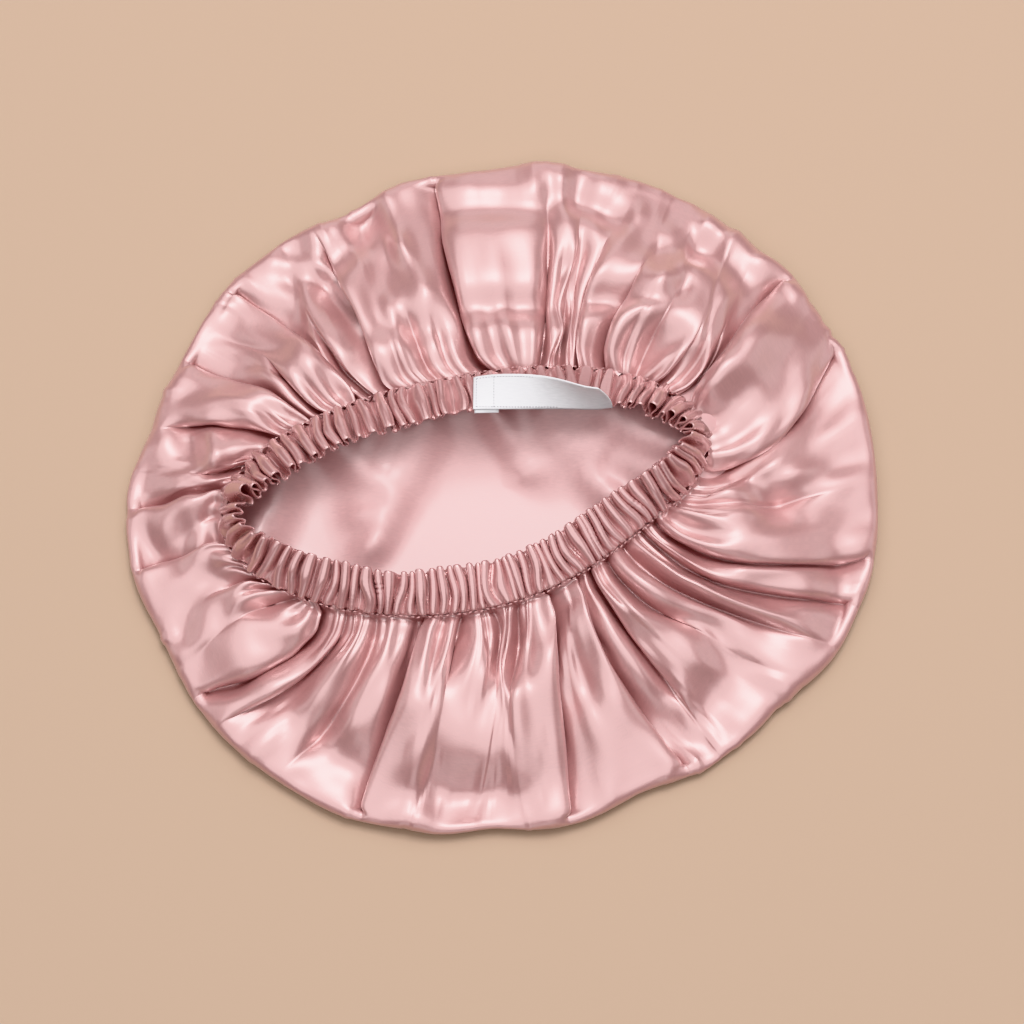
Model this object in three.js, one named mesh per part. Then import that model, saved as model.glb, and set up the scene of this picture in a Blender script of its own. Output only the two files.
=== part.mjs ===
// Satin sleep bonnet lying crown down on a table, with its gathered mouth facing up.
// Millimetres, +Z up. The table is Z = 0 and the origin is the middle of the outline on it.
// The cloth is one hollow shell: flat underneath, rolled round the outline and gathered in
// radiating folds up to the seam of the elastic band.
import * as THREE from "three";

// Cloth and heights
const WALL = 1.6; // cloth wall, measured across the sheet
const SEAM_HEIGHT = 26; // top of the cloth where it is sewn to the band
const ROLL_RADIUS = 7; // the cloth rolls under itself round the outline
const CREST = 8.5; // how far the sheet swells up between the seam and the outline
const BOW_PEAK = 0.75; // under 1 puts a crease's widest bow nearer the seam

// Mouth: the seam is an ellipse turned in plan, which sags across its middle and is drawn in a
// little on one side
const MOUTH_CENTRE = new THREE.Vector2(-15.5, -3.3);
const MOUTH_HALF_LENGTH = 109;
const MOUTH_HALF_WIDTH = 53.4;
const MOUTH_TURN = 10.6; // degrees
const MOUTH_SAG = { along: -10, spread: 80, depth: 5.2 };
const MOUTH_PINCH = { angle: -45, spread: 26, depth: 0.09 };

// Elastic band: a gathered casing, flat along the sides of the mouth and upright at its ends
const BAND_WIDTH = 20;
const BAND_THICKNESS = 4.4;
const BAND_SEAM_GAP = 0.7; // in plan, between the band and the edge of the crown
const BAND_PLEATS = 96;
const PLEAT_HEIGHT = 0.55;
const PLEAT_SCALLOP = 0.5;

// Care label: a strip sewn on the band at one end, whose free end runs straight on over the mouth
// and turns up on its near edge
const LABEL_WIDTH = 15.5;
const LABEL_THICKNESS = 1;
const LABEL_SEWN_CORNER = new THREE.Vector3(-12.7, 26.8, 34.2); // ends of its near edge
const LABEL_FREE_CORNER = new THREE.Vector3(48.2, 26.4, 36.5);
const LABEL_TILT = { sewn: -8, free: 74, power: 0.9 }; // degrees up from level at its two ends
const LABEL_SLANT = 6; // its far edge stops this much short of its near edge
const LABEL_SECTIONS = 16;

// Outline of the lying crown: how far it reaches from a point near its middle, at each pulled
// corner and slack stretch.
const OUTLINE_CENTRE = new THREE.Vector2(-0.58, 0.42);
const OUTLINE = [
  { angle: 0, reach: 169.5 },
  { angle: 18, reach: 170 },
  { angle: 30, reach: 167.5 },
  { angle: 36, reach: 169 },
  { angle: 44, reach: 164 },
  { angle: 60, reach: 163 },
  { angle: 78, reach: 157.5 },
  { angle: 97, reach: 151.5 },
  { angle: 108, reach: 152.5 },
  { angle: 119, reach: 149 },
  { angle: 132, reach: 154.5 },
  { angle: 144, reach: 158.5 },
  { angle: 158, reach: 158 },
  { angle: 170, reach: 161 },
  { angle: 182, reach: 168.5 },
  { angle: 194, reach: 169 },
  { angle: 206, reach: 165.5 },
  { angle: 218, reach: 167 },
  { angle: 242, reach: 164 },
  { angle: 258, reach: 159 },
  { angle: 270, reach: 153.5 },
  { angle: 281, reach: 155.5 },
  { angle: 294, reach: 151.5 },
  { angle: 306, reach: 157 },
  { angle: 318, reach: 158.5 },
  { angle: 336, reach: 168 },
  { angle: 350, reach: 170.5 },
];

// Folds, counter-clockwise. Each crease runs from an angle on the seam to an angle on the outline,
// bows to its counter-clockwise side on the way, reaches a share of the way across and is so deep.
// With a lean of 1 the cloth after the crease lies over it, with -1 the cloth before it does.
// Swell lifts the cloth up to the next crease.
const FOLDS = [
  { rim: 0, seam: -28, bow: -6, reach: 0.75, depth: 6, lean: 0, swell: 0 },
  { rim: 22, seam: -13, bow: -9, reach: 1, depth: 9, lean: 0.9, swell: 7 },
  { rim: 36, seam: 17, bow: 1, reach: 1, depth: 9, lean: -0.9, swell: 0 },
  { rim: 42, seam: 27, bow: -3, reach: 0.7, depth: 7, lean: 0.5, swell: 1 },
  { rim: 47, seam: 35, bow: -3, reach: 0.5, depth: 6, lean: 0.5, swell: 0 },
  { rim: 53, seam: 41, bow: 2, reach: 0.7, depth: 7, lean: 0, swell: 2 },
  { rim: 60, seam: 48, bow: 3, reach: 0.8, depth: 9, lean: -0.6, swell: 1 },
  { rim: 66, seam: 57, bow: 6, reach: 0.95, depth: 9, lean: -0.5, swell: 1 },
  { rim: 74, seam: 62, bow: 3, reach: 0.6, depth: 7, lean: 0, swell: 1 },
  { rim: 82, seam: 68, bow: -4, reach: 1, depth: 8, lean: 0.4, swell: 2 },
  { rim: 102, seam: 76, bow: 4, reach: 1, depth: 11, lean: -0.9, swell: 1 },
  { rim: 115, seam: 90, bow: 4, reach: 0.35, depth: 6, lean: -0.3, swell: 1 },
  { rim: 126, seam: 100, bow: -2, reach: 0.9, depth: 11, lean: -0.9, swell: 0 },
  { rim: 133, seam: 107, bow: 6, reach: 0.75, depth: 8, lean: -0.5, swell: 1 },
  { rim: 144, seam: 113, bow: -4, reach: 1, depth: 9, lean: 0.8, swell: 1 },
  { rim: 151, seam: 119, bow: -2, reach: 0.7, depth: 8, lean: -0.7, swell: 0 },
  { rim: 158, seam: 125, bow: 0, reach: 1, depth: 8, lean: 0.7, swell: 2 },
  { rim: 171, seam: 133, bow: -5, reach: 0.9, depth: 8, lean: -0.6, swell: 1 },
  { rim: 178, seam: 147, bow: 4, reach: 0.7, depth: 8, lean: -0.5, swell: 0 },
  { rim: 184, seam: 161, bow: -1, reach: 1, depth: 8, lean: 0.6, swell: 2 },
  { rim: 194, seam: 190, bow: -1, reach: 1, depth: 8, lean: 0.6, swell: 2 },
  { rim: 204, seam: 213, bow: -6, reach: 0.5, depth: 7, lean: 0.3, swell: 1 },
  { rim: 211, seam: 221, bow: -4, reach: 0.45, depth: 6, lean: 0, swell: 1 },
  { rim: 216, seam: 228, bow: 8, reach: 1, depth: 9, lean: -0.6, swell: 0 },
  { rim: 222, seam: 235, bow: 8, reach: 0.95, depth: 6, lean: -0.4, swell: 0 },
  { rim: 234, seam: 243, bow: 7, reach: 0.9, depth: 7, lean: 0, swell: 1 },
  { rim: 248, seam: 256, bow: 3, reach: 1, depth: 10, lean: 0.8, swell: 0 },
  { rim: 257, seam: 263, bow: 0, reach: 0.6, depth: 8, lean: -0.3, swell: 1 },
  { rim: 266, seam: 270, bow: 5, reach: 0.6, depth: 7, lean: 0, swell: 1 },
  { rim: 274, seam: 276, bow: -2, reach: 0.8, depth: 7, lean: 0.3, swell: 0 },
  { rim: 281, seam: 283, bow: 0, reach: 1, depth: 10, lean: -0.8, swell: 2 },
  { rim: 302, seam: 291, bow: -8, reach: 1, depth: 10, lean: -0.7, swell: 0 },
  { rim: 308, seam: 297, bow: -1, reach: 0.85, depth: 8, lean: 0.5, swell: 3 },
  { rim: 325, seam: 303, bow: -9, reach: 0.5, depth: 7, lean: 0.3, swell: 0 },
  { rim: 333, seam: 309, bow: -8, reach: 0.9, depth: 7, lean: 0, swell: 1 },
  { rim: 340, seam: 316, bow: -10, reach: 1, depth: 7, lean: 0.3, swell: 0 },
  { rim: 348, seam: 322, bow: -12, reach: 1, depth: 8, lean: 0.6, swell: 1 },
];

// How far the band turns up on edge round the mouth, in degrees from lying flat.
const BAND_TILT = [
  { angle: 0, tilt: 58 },
  { angle: 30, tilt: 36 },
  { angle: 60, tilt: 20 },
  { angle: 90, tilt: 18 },
  { angle: 130, tilt: 24 },
  { angle: 180, tilt: 60 },
  { angle: 225, tilt: 22 },
  { angle: 270, tilt: 10 },
  { angle: 315, tilt: 18 },
  { angle: 340, tilt: 42 },
];

// Mesh steps: columns between two creases, rows from the seam to the roll, and rows round the roll
const COLUMNS_PER_PANEL = 4;
const SHEET_ROWS = [0, 0.09, 0.22, 0.38, 0.57, 0.78, 1];
const ROLL_ROWS = [45, 0, -45, -90];
const COLUMNS_PER_PLEAT = 2;

const TURN = 360;
const radians = THREE.MathUtils.degToRad;
const { lerp, smoothstep } = THREE.MathUtils;

// The row that a closed table's angle falls in, and how far through it.
function placeInTable(rows, key, angle) {
  const first = rows[0][key];
  const wrapped = first + THREE.MathUtils.euclideanModulo(angle - first, TURN);
  let row = rows.length - 1;
  while (rows[row][key] > wrapped) row -= 1;
  const next = (row + 1) % rows.length;
  const end = rows[next][key] + (next === 0 ? TURN : 0);
  return { row, next, share: (wrapped - rows[row][key]) / (end - rows[row][key]), wrapped };
}

// A closed table read at any angle, eased from row to row.
function readTable(rows, column, angle) {
  const { row, next, share } = placeInTable(rows, "angle", angle);
  return lerp(rows[row][column], rows[next][column], smoothstep(share, 0, 1));
}

// The angle on the seam that the gathers carry to an angle on the outline, and the bow between.
function gatherAt(rim) {
  const { row, next, share, wrapped } = placeInTable(FOLDS, "rim", rim);
  const end = FOLDS[next].seam + (next === 0 ? TURN : 0);
  return {
    angle: lerp(FOLDS[row].seam, end, share) + rim - wrapped,
    bow: lerp(FOLDS[row].bow, FOLDS[next].bow, smoothstep(share, 0, 1)),
  };
}

function shortestTurn(angle) {
  return THREE.MathUtils.euclideanModulo(angle + TURN / 2, TURN) - TURN / 2;
}

// A point on the seam in plan.
function seamPoint(angle) {
  const away = shortestTurn(angle - MOUTH_PINCH.angle) / MOUTH_PINCH.spread;
  const pinch = 1 - MOUTH_PINCH.depth * Math.exp(-away * away);
  const along = MOUTH_HALF_LENGTH * pinch * Math.cos(radians(angle));
  const sag = MOUTH_SAG.depth * Math.exp(-(((along - MOUTH_SAG.along) / MOUTH_SAG.spread) ** 2));
  return new THREE.Vector2(along, MOUTH_HALF_WIDTH * pinch * Math.sin(radians(angle)) - sag)
    .rotateAround(new THREE.Vector2(), radians(MOUTH_TURN))
    .add(MOUTH_CENTRE);
}

// The direction out of the mouth in plan, square to the seam.
function seamOutward(angle) {
  const step = 0.5;
  const along = seamPoint(angle + step).sub(seamPoint(angle - step));
  return new THREE.Vector2(along.y, -along.x).normalize();
}

// Height of the smooth sheet at a share of the way from the seam to the roll.
function sheetHeight(share) {
  const fall = lerp(2 * ROLL_RADIUS, SEAM_HEIGHT, (1 - share) ** 2);
  return fall + CREST * Math.sin(Math.PI * Math.sqrt(share)) ** 2;
}

// How far one crease presses the sheet in, at an angle and a share of the way to the roll.
function creaseDepth(fold, rim, share, spacing) {
  const rise = lerp(0.3, 1, smoothstep(share, 0, 0.2));
  const fall = 1 - smoothstep(share, fold.reach - 0.3, fold.reach + 0.15);
  const across = shortestTurn(rim - fold.rim) * spacing;
  const steepness = across > 0 ? fold.lean : -fold.lean;
  const reach = lerp(4, 11, share) * (1 - 0.55 * steepness);
  return fold.depth * rise * fall * Math.exp(-Math.abs(across) / reach);
}

// Height that the folds add to the sheet, from the creases and the swell between them.
function foldHeight(rim, share) {
  const spacing = lerp(1.45, 2.7, share); // millimetres round the sheet for each degree
  const sharpness = 4; // creases close together share a valley
  const sum = FOLDS.reduce(
    (total, fold) => total + creaseDepth(fold, rim, share, spacing) ** sharpness,
    0,
  );
  const panel = placeInTable(FOLDS, "rim", rim);
  const swell = FOLDS[panel.row].swell * Math.sin(Math.PI * panel.share) ** 2;
  return swell * Math.sin(Math.PI * Math.min(share + 0.1, 1)) - sum ** (1 / sharpness);
}

// One column of the crown, from the seam over the sheet and round the roll: each place has a
// point on the smooth sheet, the direction out of the cloth and what the folds add there.
function crownColumn(rim) {
  const outward = new THREE.Vector2(Math.cos(radians(rim)), Math.sin(radians(rim)));
  const inside = readTable(OUTLINE, "reach", rim) - ROLL_RADIUS;
  const rollCentre = OUTLINE_CENTRE.clone().addScaledVector(outward, inside);
  const { angle, bow } = gatherAt(rim);
  const seam = seamPoint(angle);
  const run = rollCentre.clone().sub(seam).normalize();
  const side = new THREE.Vector2(-run.y, run.x);
  const sheet = SHEET_ROWS.map((share) => {
    const plan = seam.clone().lerp(rollCentre, share);
    plan.addScaledVector(side, bow * Math.sin(Math.PI * share ** BOW_PEAK));
    return {
      point: new THREE.Vector3(plan.x, plan.y, sheetHeight(share)),
      out: new THREE.Vector3(0, 0, 1),
      lift: foldHeight(rim, share),
    };
  });
  const roll = ROLL_ROWS.map((turn) => {
    const out = new THREE.Vector3(
      outward.x * Math.cos(radians(turn)),
      outward.y * Math.cos(radians(turn)),
      Math.sin(radians(turn)),
    );
    const centre = new THREE.Vector3(rollCentre.x, rollCentre.y, ROLL_RADIUS);
    return {
      point: centre.addScaledVector(out, ROLL_RADIUS),
      out,
      lift: turn > 0 ? foldHeight(rim, 1) * Math.sin(radians(turn)) ** 2 : 0,
    };
  });
  return [...sheet, ...roll];
}

// Indexed triangles gathered into a geometry.
class MeshMaker {
  constructor() {
    this.points = [];
    this.triangles = [];
  }

  add(point) {
    this.points.push(point);
    return this.points.length - 1;
  }

  quad(a, b, c, d) {
    this.triangles.push(a, b, c, a, c, d);
  }

  geometry() {
    const made = new THREE.BufferGeometry().setFromPoints(this.points);
    made.setIndex(this.triangles);
    made.computeVertexNormals();
    return made;
  }
}

// The crown's cloth as a closed wall: the outer face, the inner face one wall inside it, and the
// cut edge between them at the seam. Both faces close in a fan on the flat underside.
function crownGeometry() {
  const maker = new MeshMaker();
  const angles = FOLDS.flatMap((fold, row) => {
    const next = FOLDS[(row + 1) % FOLDS.length].rim + (row + 1 === FOLDS.length ? TURN : 0);
    return Array.from({ length: COLUMNS_PER_PANEL }, (_, step) =>
      lerp(fold.rim, next, step / COLUMNS_PER_PANEL),
    );
  });
  const columns = angles.map(crownColumn);
  const face = (inset) =>
    columns.map((column) =>
      column.map(({ point, out, lift }) => maker.add(point.clone().addScaledVector(out, lift - inset))),
    );
  const outer = face(0);
  const inner = face(WALL);
  const outerMiddle = maker.add(new THREE.Vector3(0, 0, 0));
  const innerMiddle = maker.add(new THREE.Vector3(0, 0, WALL));
  const last = columns[0].length - 1;
  for (let here = 0; here < columns.length; here += 1) {
    const next = (here + 1) % columns.length;
    for (let row = 0; row < last; row += 1) {
      maker.quad(outer[here][row], outer[here][row + 1], outer[next][row + 1], outer[next][row]);
      maker.quad(inner[here][row], inner[next][row], inner[next][row + 1], inner[here][row + 1]);
    }
    maker.triangles.push(outer[here][last], outerMiddle, outer[next][last]);
    maker.triangles.push(inner[here][last], inner[next][last], innerMiddle);
    maker.quad(outer[here][0], outer[next][0], inner[next][0], inner[here][0]);
  }
  return maker.geometry();
}

// The band's own axes at an angle: its seam edge, the way across it and the way out of its face.
function bandAxes(angle) {
  const outward = seamOutward(angle);
  const tilt = radians(readTable(BAND_TILT, "tilt", angle));
  const seam = seamPoint(angle).addScaledVector(outward, -BAND_SEAM_GAP);
  const across = new THREE.Vector3(-outward.x * Math.cos(tilt), -outward.y * Math.cos(tilt), Math.sin(tilt));
  const face = new THREE.Vector3(outward.x * Math.sin(tilt), outward.y * Math.sin(tilt), Math.cos(tilt));
  const edge = new THREE.Vector3(seam.x, seam.y, SEAM_HEIGHT - WALL / 2);
  return { edge, across, face };
}

// The gathered casing with the elastic in it: a closed ring of pointed sections, pleated across.
function bandGeometry() {
  const maker = new MeshMaker();
  const count = BAND_PLEATS * COLUMNS_PER_PLEAT;
  const rings = Array.from({ length: count }, (_, step) => {
    const { edge, across, face } = bandAxes((step / count) * TURN);
    const ridge = step % COLUMNS_PER_PLEAT === 0 ? 1 : -1;
    const half = BAND_THICKNESS / 2 + ridge * PLEAT_HEIGHT;
    const width = BAND_WIDTH + ridge * PLEAT_SCALLOP;
    const section = [
      [0, 0],
      [3.5, half],
      [width - 2, half],
      [width, 0],
      [width - 2, -half],
      [3.5, -half],
    ];
    return section.map(([along, out]) =>
      maker.add(edge.clone().addScaledVector(across, along).addScaledVector(face, out)),
    );
  });
  const sides = rings[0].length;
  for (let here = 0; here < count; here += 1) {
    const next = (here + 1) % count;
    for (let side = 0; side < sides; side += 1) {
      const after = (side + 1) % sides;
      maker.quad(rings[here][side], rings[next][side], rings[next][after], rings[here][after]);
    }
  }
  return maker.geometry();
}

// The label: straight sections from its near edge, each turned up by the tilt there.
function labelGeometry() {
  const maker = new MeshMaker();
  const along = LABEL_FREE_CORNER.clone().sub(LABEL_SEWN_CORNER).normalize();
  const back = new THREE.Vector3(0, 0, 1).cross(along).normalize();
  const up = along.clone().cross(back);
  const rings = Array.from({ length: LABEL_SECTIONS }, (_, step) => {
    const share = step / (LABEL_SECTIONS - 1);
    const tilt = radians(lerp(LABEL_TILT.sewn, LABEL_TILT.free, share ** LABEL_TILT.power));
    const wide = back.clone().applyAxisAngle(along, tilt);
    const thick = up.clone().applyAxisAngle(along, tilt);
    const near = LABEL_SEWN_CORNER.clone().lerp(LABEL_FREE_CORNER, share);
    const short = LABEL_SLANT * smoothstep(share, 0.3, 1);
    const far = near.clone().addScaledVector(wide, LABEL_WIDTH).addScaledVector(along, -short);
    const raised = (point) => point.clone().addScaledVector(thick, LABEL_THICKNESS);
    return [near, far, raised(far), raised(near)].map((point) => maker.add(point));
  });
  for (let step = 0; step < rings.length - 1; step += 1) {
    for (let side = 0; side < 4; side += 1) {
      const after = (side + 1) % 4;
      maker.quad(rings[step][side], rings[step][after], rings[step + 1][after], rings[step + 1][side]);
    }
  }
  maker.quad(...rings[0].toReversed());
  maker.quad(...rings[rings.length - 1]);
  return maker.geometry();
}

const satin = { color: 0xd9a3a4, roughness: 0.35, metalness: 0 };
const pieces = [
  ["crown", crownGeometry(), satin],
  ["elastic_band", bandGeometry(), satin],
  ["care_label", labelGeometry(), { color: 0xf1eff2, roughness: 0.5, metalness: 0 }],
];

const bonnet = new THREE.Group();
for (const [name, geometry, finish] of pieces) {
  const mesh = new THREE.Mesh(geometry, new THREE.MeshStandardMaterial(finish));
  mesh.name = name;
  bonnet.add(mesh);
}

export default bonnet;
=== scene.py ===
"""Satin sleep bonnet lying crown down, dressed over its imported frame.

Lengths in the tables are millimetres and angles degrees, counter-clockwise from +X; the meshes
are in metres. +Z is up, +Y is the side of the mouth with the label.
"""

import logging
import math
from dataclasses import dataclass, replace
from enum import Enum

import bpy
import numpy as np
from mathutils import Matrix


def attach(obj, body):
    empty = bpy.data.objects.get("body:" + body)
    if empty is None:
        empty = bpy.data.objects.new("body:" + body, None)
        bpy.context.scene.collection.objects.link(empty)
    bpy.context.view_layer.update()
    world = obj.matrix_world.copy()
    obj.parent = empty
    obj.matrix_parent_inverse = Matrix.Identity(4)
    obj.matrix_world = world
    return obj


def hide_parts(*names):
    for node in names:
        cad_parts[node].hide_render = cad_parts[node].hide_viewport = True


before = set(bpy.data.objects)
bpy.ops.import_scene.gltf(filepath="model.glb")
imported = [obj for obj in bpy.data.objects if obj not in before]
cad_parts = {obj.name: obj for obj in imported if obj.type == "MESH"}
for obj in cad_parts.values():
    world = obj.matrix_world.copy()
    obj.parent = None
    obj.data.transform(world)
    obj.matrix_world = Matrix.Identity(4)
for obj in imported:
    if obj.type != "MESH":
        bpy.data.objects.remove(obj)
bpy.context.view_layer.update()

log = logging.getLogger("bonnet")
Array = np.ndarray
TURN = 360.0
MM = 0.001
TINY = 1e-9  # keeps a direction from being divided by nothing
BODY = "root"
CUT_MAP = "cut"  # UV map that holds a piece's place on the flat cloth, in metres
WAVE_PACES = (0.6, 1.5)  # slowest and fastest wave of a ripple

Colour = tuple[float, float, float]
Point = tuple[float, float, float]


def ease(value: Array, low: float, high: float) -> Array:
    """Smooth step from 0 at low to 1 at high.

    Args:
        value: Where to read the step.
        low: Where it leaves 0.
        high: Where it reaches 1.

    Returns:
        The step, 3t^2 - 2t^3 of the clipped share t.
    """
    share = np.clip((value - low) / (high - low), 0.0, 1.0)
    return share * share * (3.0 - 2.0 * share)


def closed_table(angles: Array, values: Array, at: Array) -> Array:
    """Read a table that closes on itself, eased from row to row.

    Args:
        angles: The rows' angles, rising, within one turn.
        values: The rows' values.
        at: Angles to read at.

    Returns:
        The value at each angle.
    """
    wrapped = angles[0] + np.mod(at - angles[0], TURN)
    row = np.searchsorted(angles, wrapped, side="right") - 1
    after = (row + 1) % len(angles)
    ends = angles[after] + np.where(after == 0, TURN, 0.0)
    share = ease((wrapped - angles[row]) / (ends - angles[row]), 0.0, 1.0)
    return values[row] + (values[after] - values[row]) * share


def ripple(x: Array, y: Array, waves: int, seed: int) -> Array:
    """A smooth random swell: sine waves of random direction, phase and pace.

    They are added up and divided by the root of their number.

    Args:
        x: First coordinate, in wavelengths.
        y: Second coordinate, in wavelengths.
        waves: How many waves are added.
        seed: Seed of the directions, phases and paces.

    Returns:
        Values of about -1 to 1.
    """
    draw = np.random.default_rng(seed)
    total = np.zeros(np.broadcast(x, y).shape)
    for _ in range(waves):
        turn = draw.uniform(0, np.pi)
        phase = draw.uniform(0, 2 * np.pi)
        pace = draw.uniform(*WAVE_PACES)
        total = total + np.sin(2 * np.pi * pace * (x * np.cos(turn) + y * np.sin(turn)) + phase)
    return total / math.sqrt(waves)


def unit(vectors: Array) -> Array:
    """Vectors brought to a length of 1."""
    return vectors / np.linalg.norm(vectors, axis=-1, keepdims=True)


def run_length(points: Array) -> Array:
    """Distance along a line of points from its first one, one for each point."""
    return np.append(0.0, np.cumsum(np.linalg.norm(np.diff(points, axis=0), axis=-1)))


def row_steps(points: Array) -> Array:
    """Distances from row to row of a grid, averaged over its columns."""
    return np.linalg.norm(np.diff(points, axis=0), axis=-1).mean(axis=1)


def linked(name: str, data: bpy.types.ID) -> bpy.types.Object:
    """Put a mesh, light or camera into the scene as an object."""
    made = bpy.data.objects.new(name, data)
    bpy.context.collection.objects.link(made)
    return made


def level_square(name: str, half_side: float, height: float) -> bpy.types.Object:
    """A level square about the origin, in metres.

    Args:
        name: The object's name.
        half_side: Half the length of its side.
        height: How high it lies.

    Returns:
        The linked object.
    """
    signs = ((-1, -1), (1, -1), (1, 1), (-1, 1))
    mesh = bpy.data.meshes.new(name)
    mesh.from_pydata([(x * half_side, y * half_side, height) for x, y in signs], [], [(0, 1, 2, 3)])
    return linked(name, mesh)


def set_inputs(node: bpy.types.Node, values: dict[str, float | tuple[float, ...]]) -> None:
    """Set a node's inputs by name."""
    for name, value in values.items():
        node.inputs[name].default_value = value


@dataclass(frozen=True)
class Fold:
    """One crease of the crown and the cloth up to the next one.

    Attributes:
        rim: Angle where it meets the outline.
        seam: Angle where it leaves the seam.
        bow: How far it bows to its counter-clockwise side.
        reach: Share of the way across that it runs.
        depth: How deep it is.
        lean: 1 where the cloth after it lies over it, -1 where the cloth before it does.
        swell: How far the cloth after it is lifted.
    """

    rim: float
    seam: float
    bow: float
    reach: float
    depth: float
    lean: float
    swell: float


FOLDS: tuple[Fold, ...] = (
    Fold(0, -28, -6, 0.75, 6, 0, 0),
    Fold(22, -13, -9, 1, 9, 0.9, 3),
    Fold(36, 17, 1, 1, 9, -0.9, 0),
    Fold(42, 27, -3, 0.45, 7, 0.5, 1),
    Fold(47, 35, -3, 0.3, 6, 0.5, 0),
    Fold(53, 41, 2, 0.45, 7, 0, 2),
    Fold(60, 48, 3, 0.55, 9, -0.6, 1),
    Fold(66, 57, 6, 0.6, 9, -0.5, 1),
    Fold(74, 62, 3, 0.4, 7, 0, 1),
    Fold(82, 68, -4, 0.75, 8, 0.4, 2),
    Fold(102, 76, 4, 1, 11, -0.9, 1),
    Fold(115, 90, 4, 0.35, 6, -0.3, 1),
    Fold(126, 100, -2, 0.9, 11, -0.9, 0),
    Fold(133, 107, 6, 0.6, 8, -0.5, 1),
    Fold(144, 113, -4, 1, 9, 0.8, 1),
    Fold(151, 119, -2, 0.55, 8, -0.7, 0),
    Fold(158, 125, 0, 1, 8, 0.7, 2),
    Fold(171, 133, -5, 0.9, 8, -0.6, 1),
    Fold(178, 147, 4, 0.5, 8, -0.5, 0),
    Fold(184, 161, -1, 1, 8, 0.6, 2),
    Fold(194, 190, -1, 1, 8, 0.6, 2),
    Fold(204, 213, -6, 0.5, 7, 0.3, 1),
    Fold(211, 221, -4, 0.45, 6, 0, 1),
    Fold(216, 228, 8, 1, 9, -0.6, 0),
    Fold(222, 235, 8, 0.95, 6, -0.4, 0),
    Fold(234, 243, 7, 0.9, 7, 0, 1),
    Fold(248, 256, 3, 1, 10, 0.8, 0),
    Fold(257, 263, 0, 0.35, 8, -0.3, 1),
    Fold(266, 270, 5, 0.3, 7, 0, 1),
    Fold(274, 276, -2, 0.45, 7, 0.3, 0),
    Fold(281, 283, 0, 1, 10, -0.8, 2),
    Fold(302, 291, -8, 1, 10, -0.7, 0),
    Fold(308, 297, -1, 0.85, 8, 0.5, 3),
    Fold(325, 303, -9, 0.5, 7, 0.3, 0),
    Fold(333, 309, -8, 0.9, 7, 0, 1),
    Fold(340, 316, -10, 1, 7, 0.3, 0),
    Fold(348, 322, -12, 1, 8, 0.6, 1),
)

OUTLINE: Array = np.array(
    [
        (0, 169.5), (18, 170), (30, 167.5), (36, 169), (44, 164), (60, 163), (78, 157.5),
        (97, 151.5), (108, 152.5), (119, 149), (132, 154.5), (144, 158.5), (158, 158),
        (170, 161), (182, 168.5), (194, 169), (206, 165.5), (218, 167), (242, 164),
        (258, 159), (270, 153.5), (281, 155.5), (294, 151.5), (306, 157), (318, 158.5),
        (336, 168), (350, 170.5),
    ]
)  # angle, how far the lying crown reaches
OUTLINE_CENTRE: Array = np.array([-0.58, 0.42])

BAND_TILT: Array = np.array(
    [
        (0, 58), (30, 36), (60, 20), (90, 18), (130, 24),
        (180, 60), (225, 22), (270, 10), (315, 18), (340, 42),
    ]
)  # angle round the mouth, degrees that the band turns up on edge


@dataclass(frozen=True)
class PhotoView:
    """The photograph's camera, which looks down on the front of the bonnet.

    Attributes:
        elevation: How many degrees above level it looks down from.
        lens: Focal length in millimetres.
        sensor: Width of the sensor in millimetres.
        frame_width: Width of the picture at the target, in metres.
        target: Where the camera and the lamps look, in metres.
        pixels: Pixels along a side of the photograph.
    """

    elevation: float = 76.0
    lens: float = 70.0
    sensor: float = 36.0
    frame_width: float = 0.4565
    target: Point = (0.0044, -0.0136, 0.010)
    pixels: float = 1024.0

    def eye(self) -> Point:
        """Where the camera stands, in metres: back from the target along its line of sight."""
        distance = self.frame_width * self.lens / self.sensor
        rise = math.radians(self.elevation)
        x, y, z = self.target
        return (x, y - distance * math.cos(rise), z + distance * math.sin(rise))

    def place(self, right: float, down: float, height: float) -> tuple[float, float]:
        """Where a pixel of the photograph lies on a level plane.

        The ray through the pixel is the line of sight, moved right and up by the pixel's share of
        the picture. It is followed from the eye until it reaches the plane.

        Args:
            right: Pixels from the left side.
            down: Pixels from the top.
            height: Height of the plane in millimetres.

        Returns:
            x and y, to whole millimetres.
        """
        rise = math.radians(self.elevation)
        opening = self.sensor / self.lens / self.pixels
        aside, above = (right - self.pixels / 2) * opening, (self.pixels / 2 - down) * opening
        forward = math.cos(rise) + above * math.sin(rise)
        drop = math.sin(rise) - above * math.cos(rise)
        x, y, z = self.eye()
        way = (z - height * MM) / drop
        return round((x + aside * way) / MM), round((y + forward * way) / MM)


PHOTO = PhotoView()
SHEET_LEVEL = 15.0  # height of the plane that places on the sheet are read on, in millimetres


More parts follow.
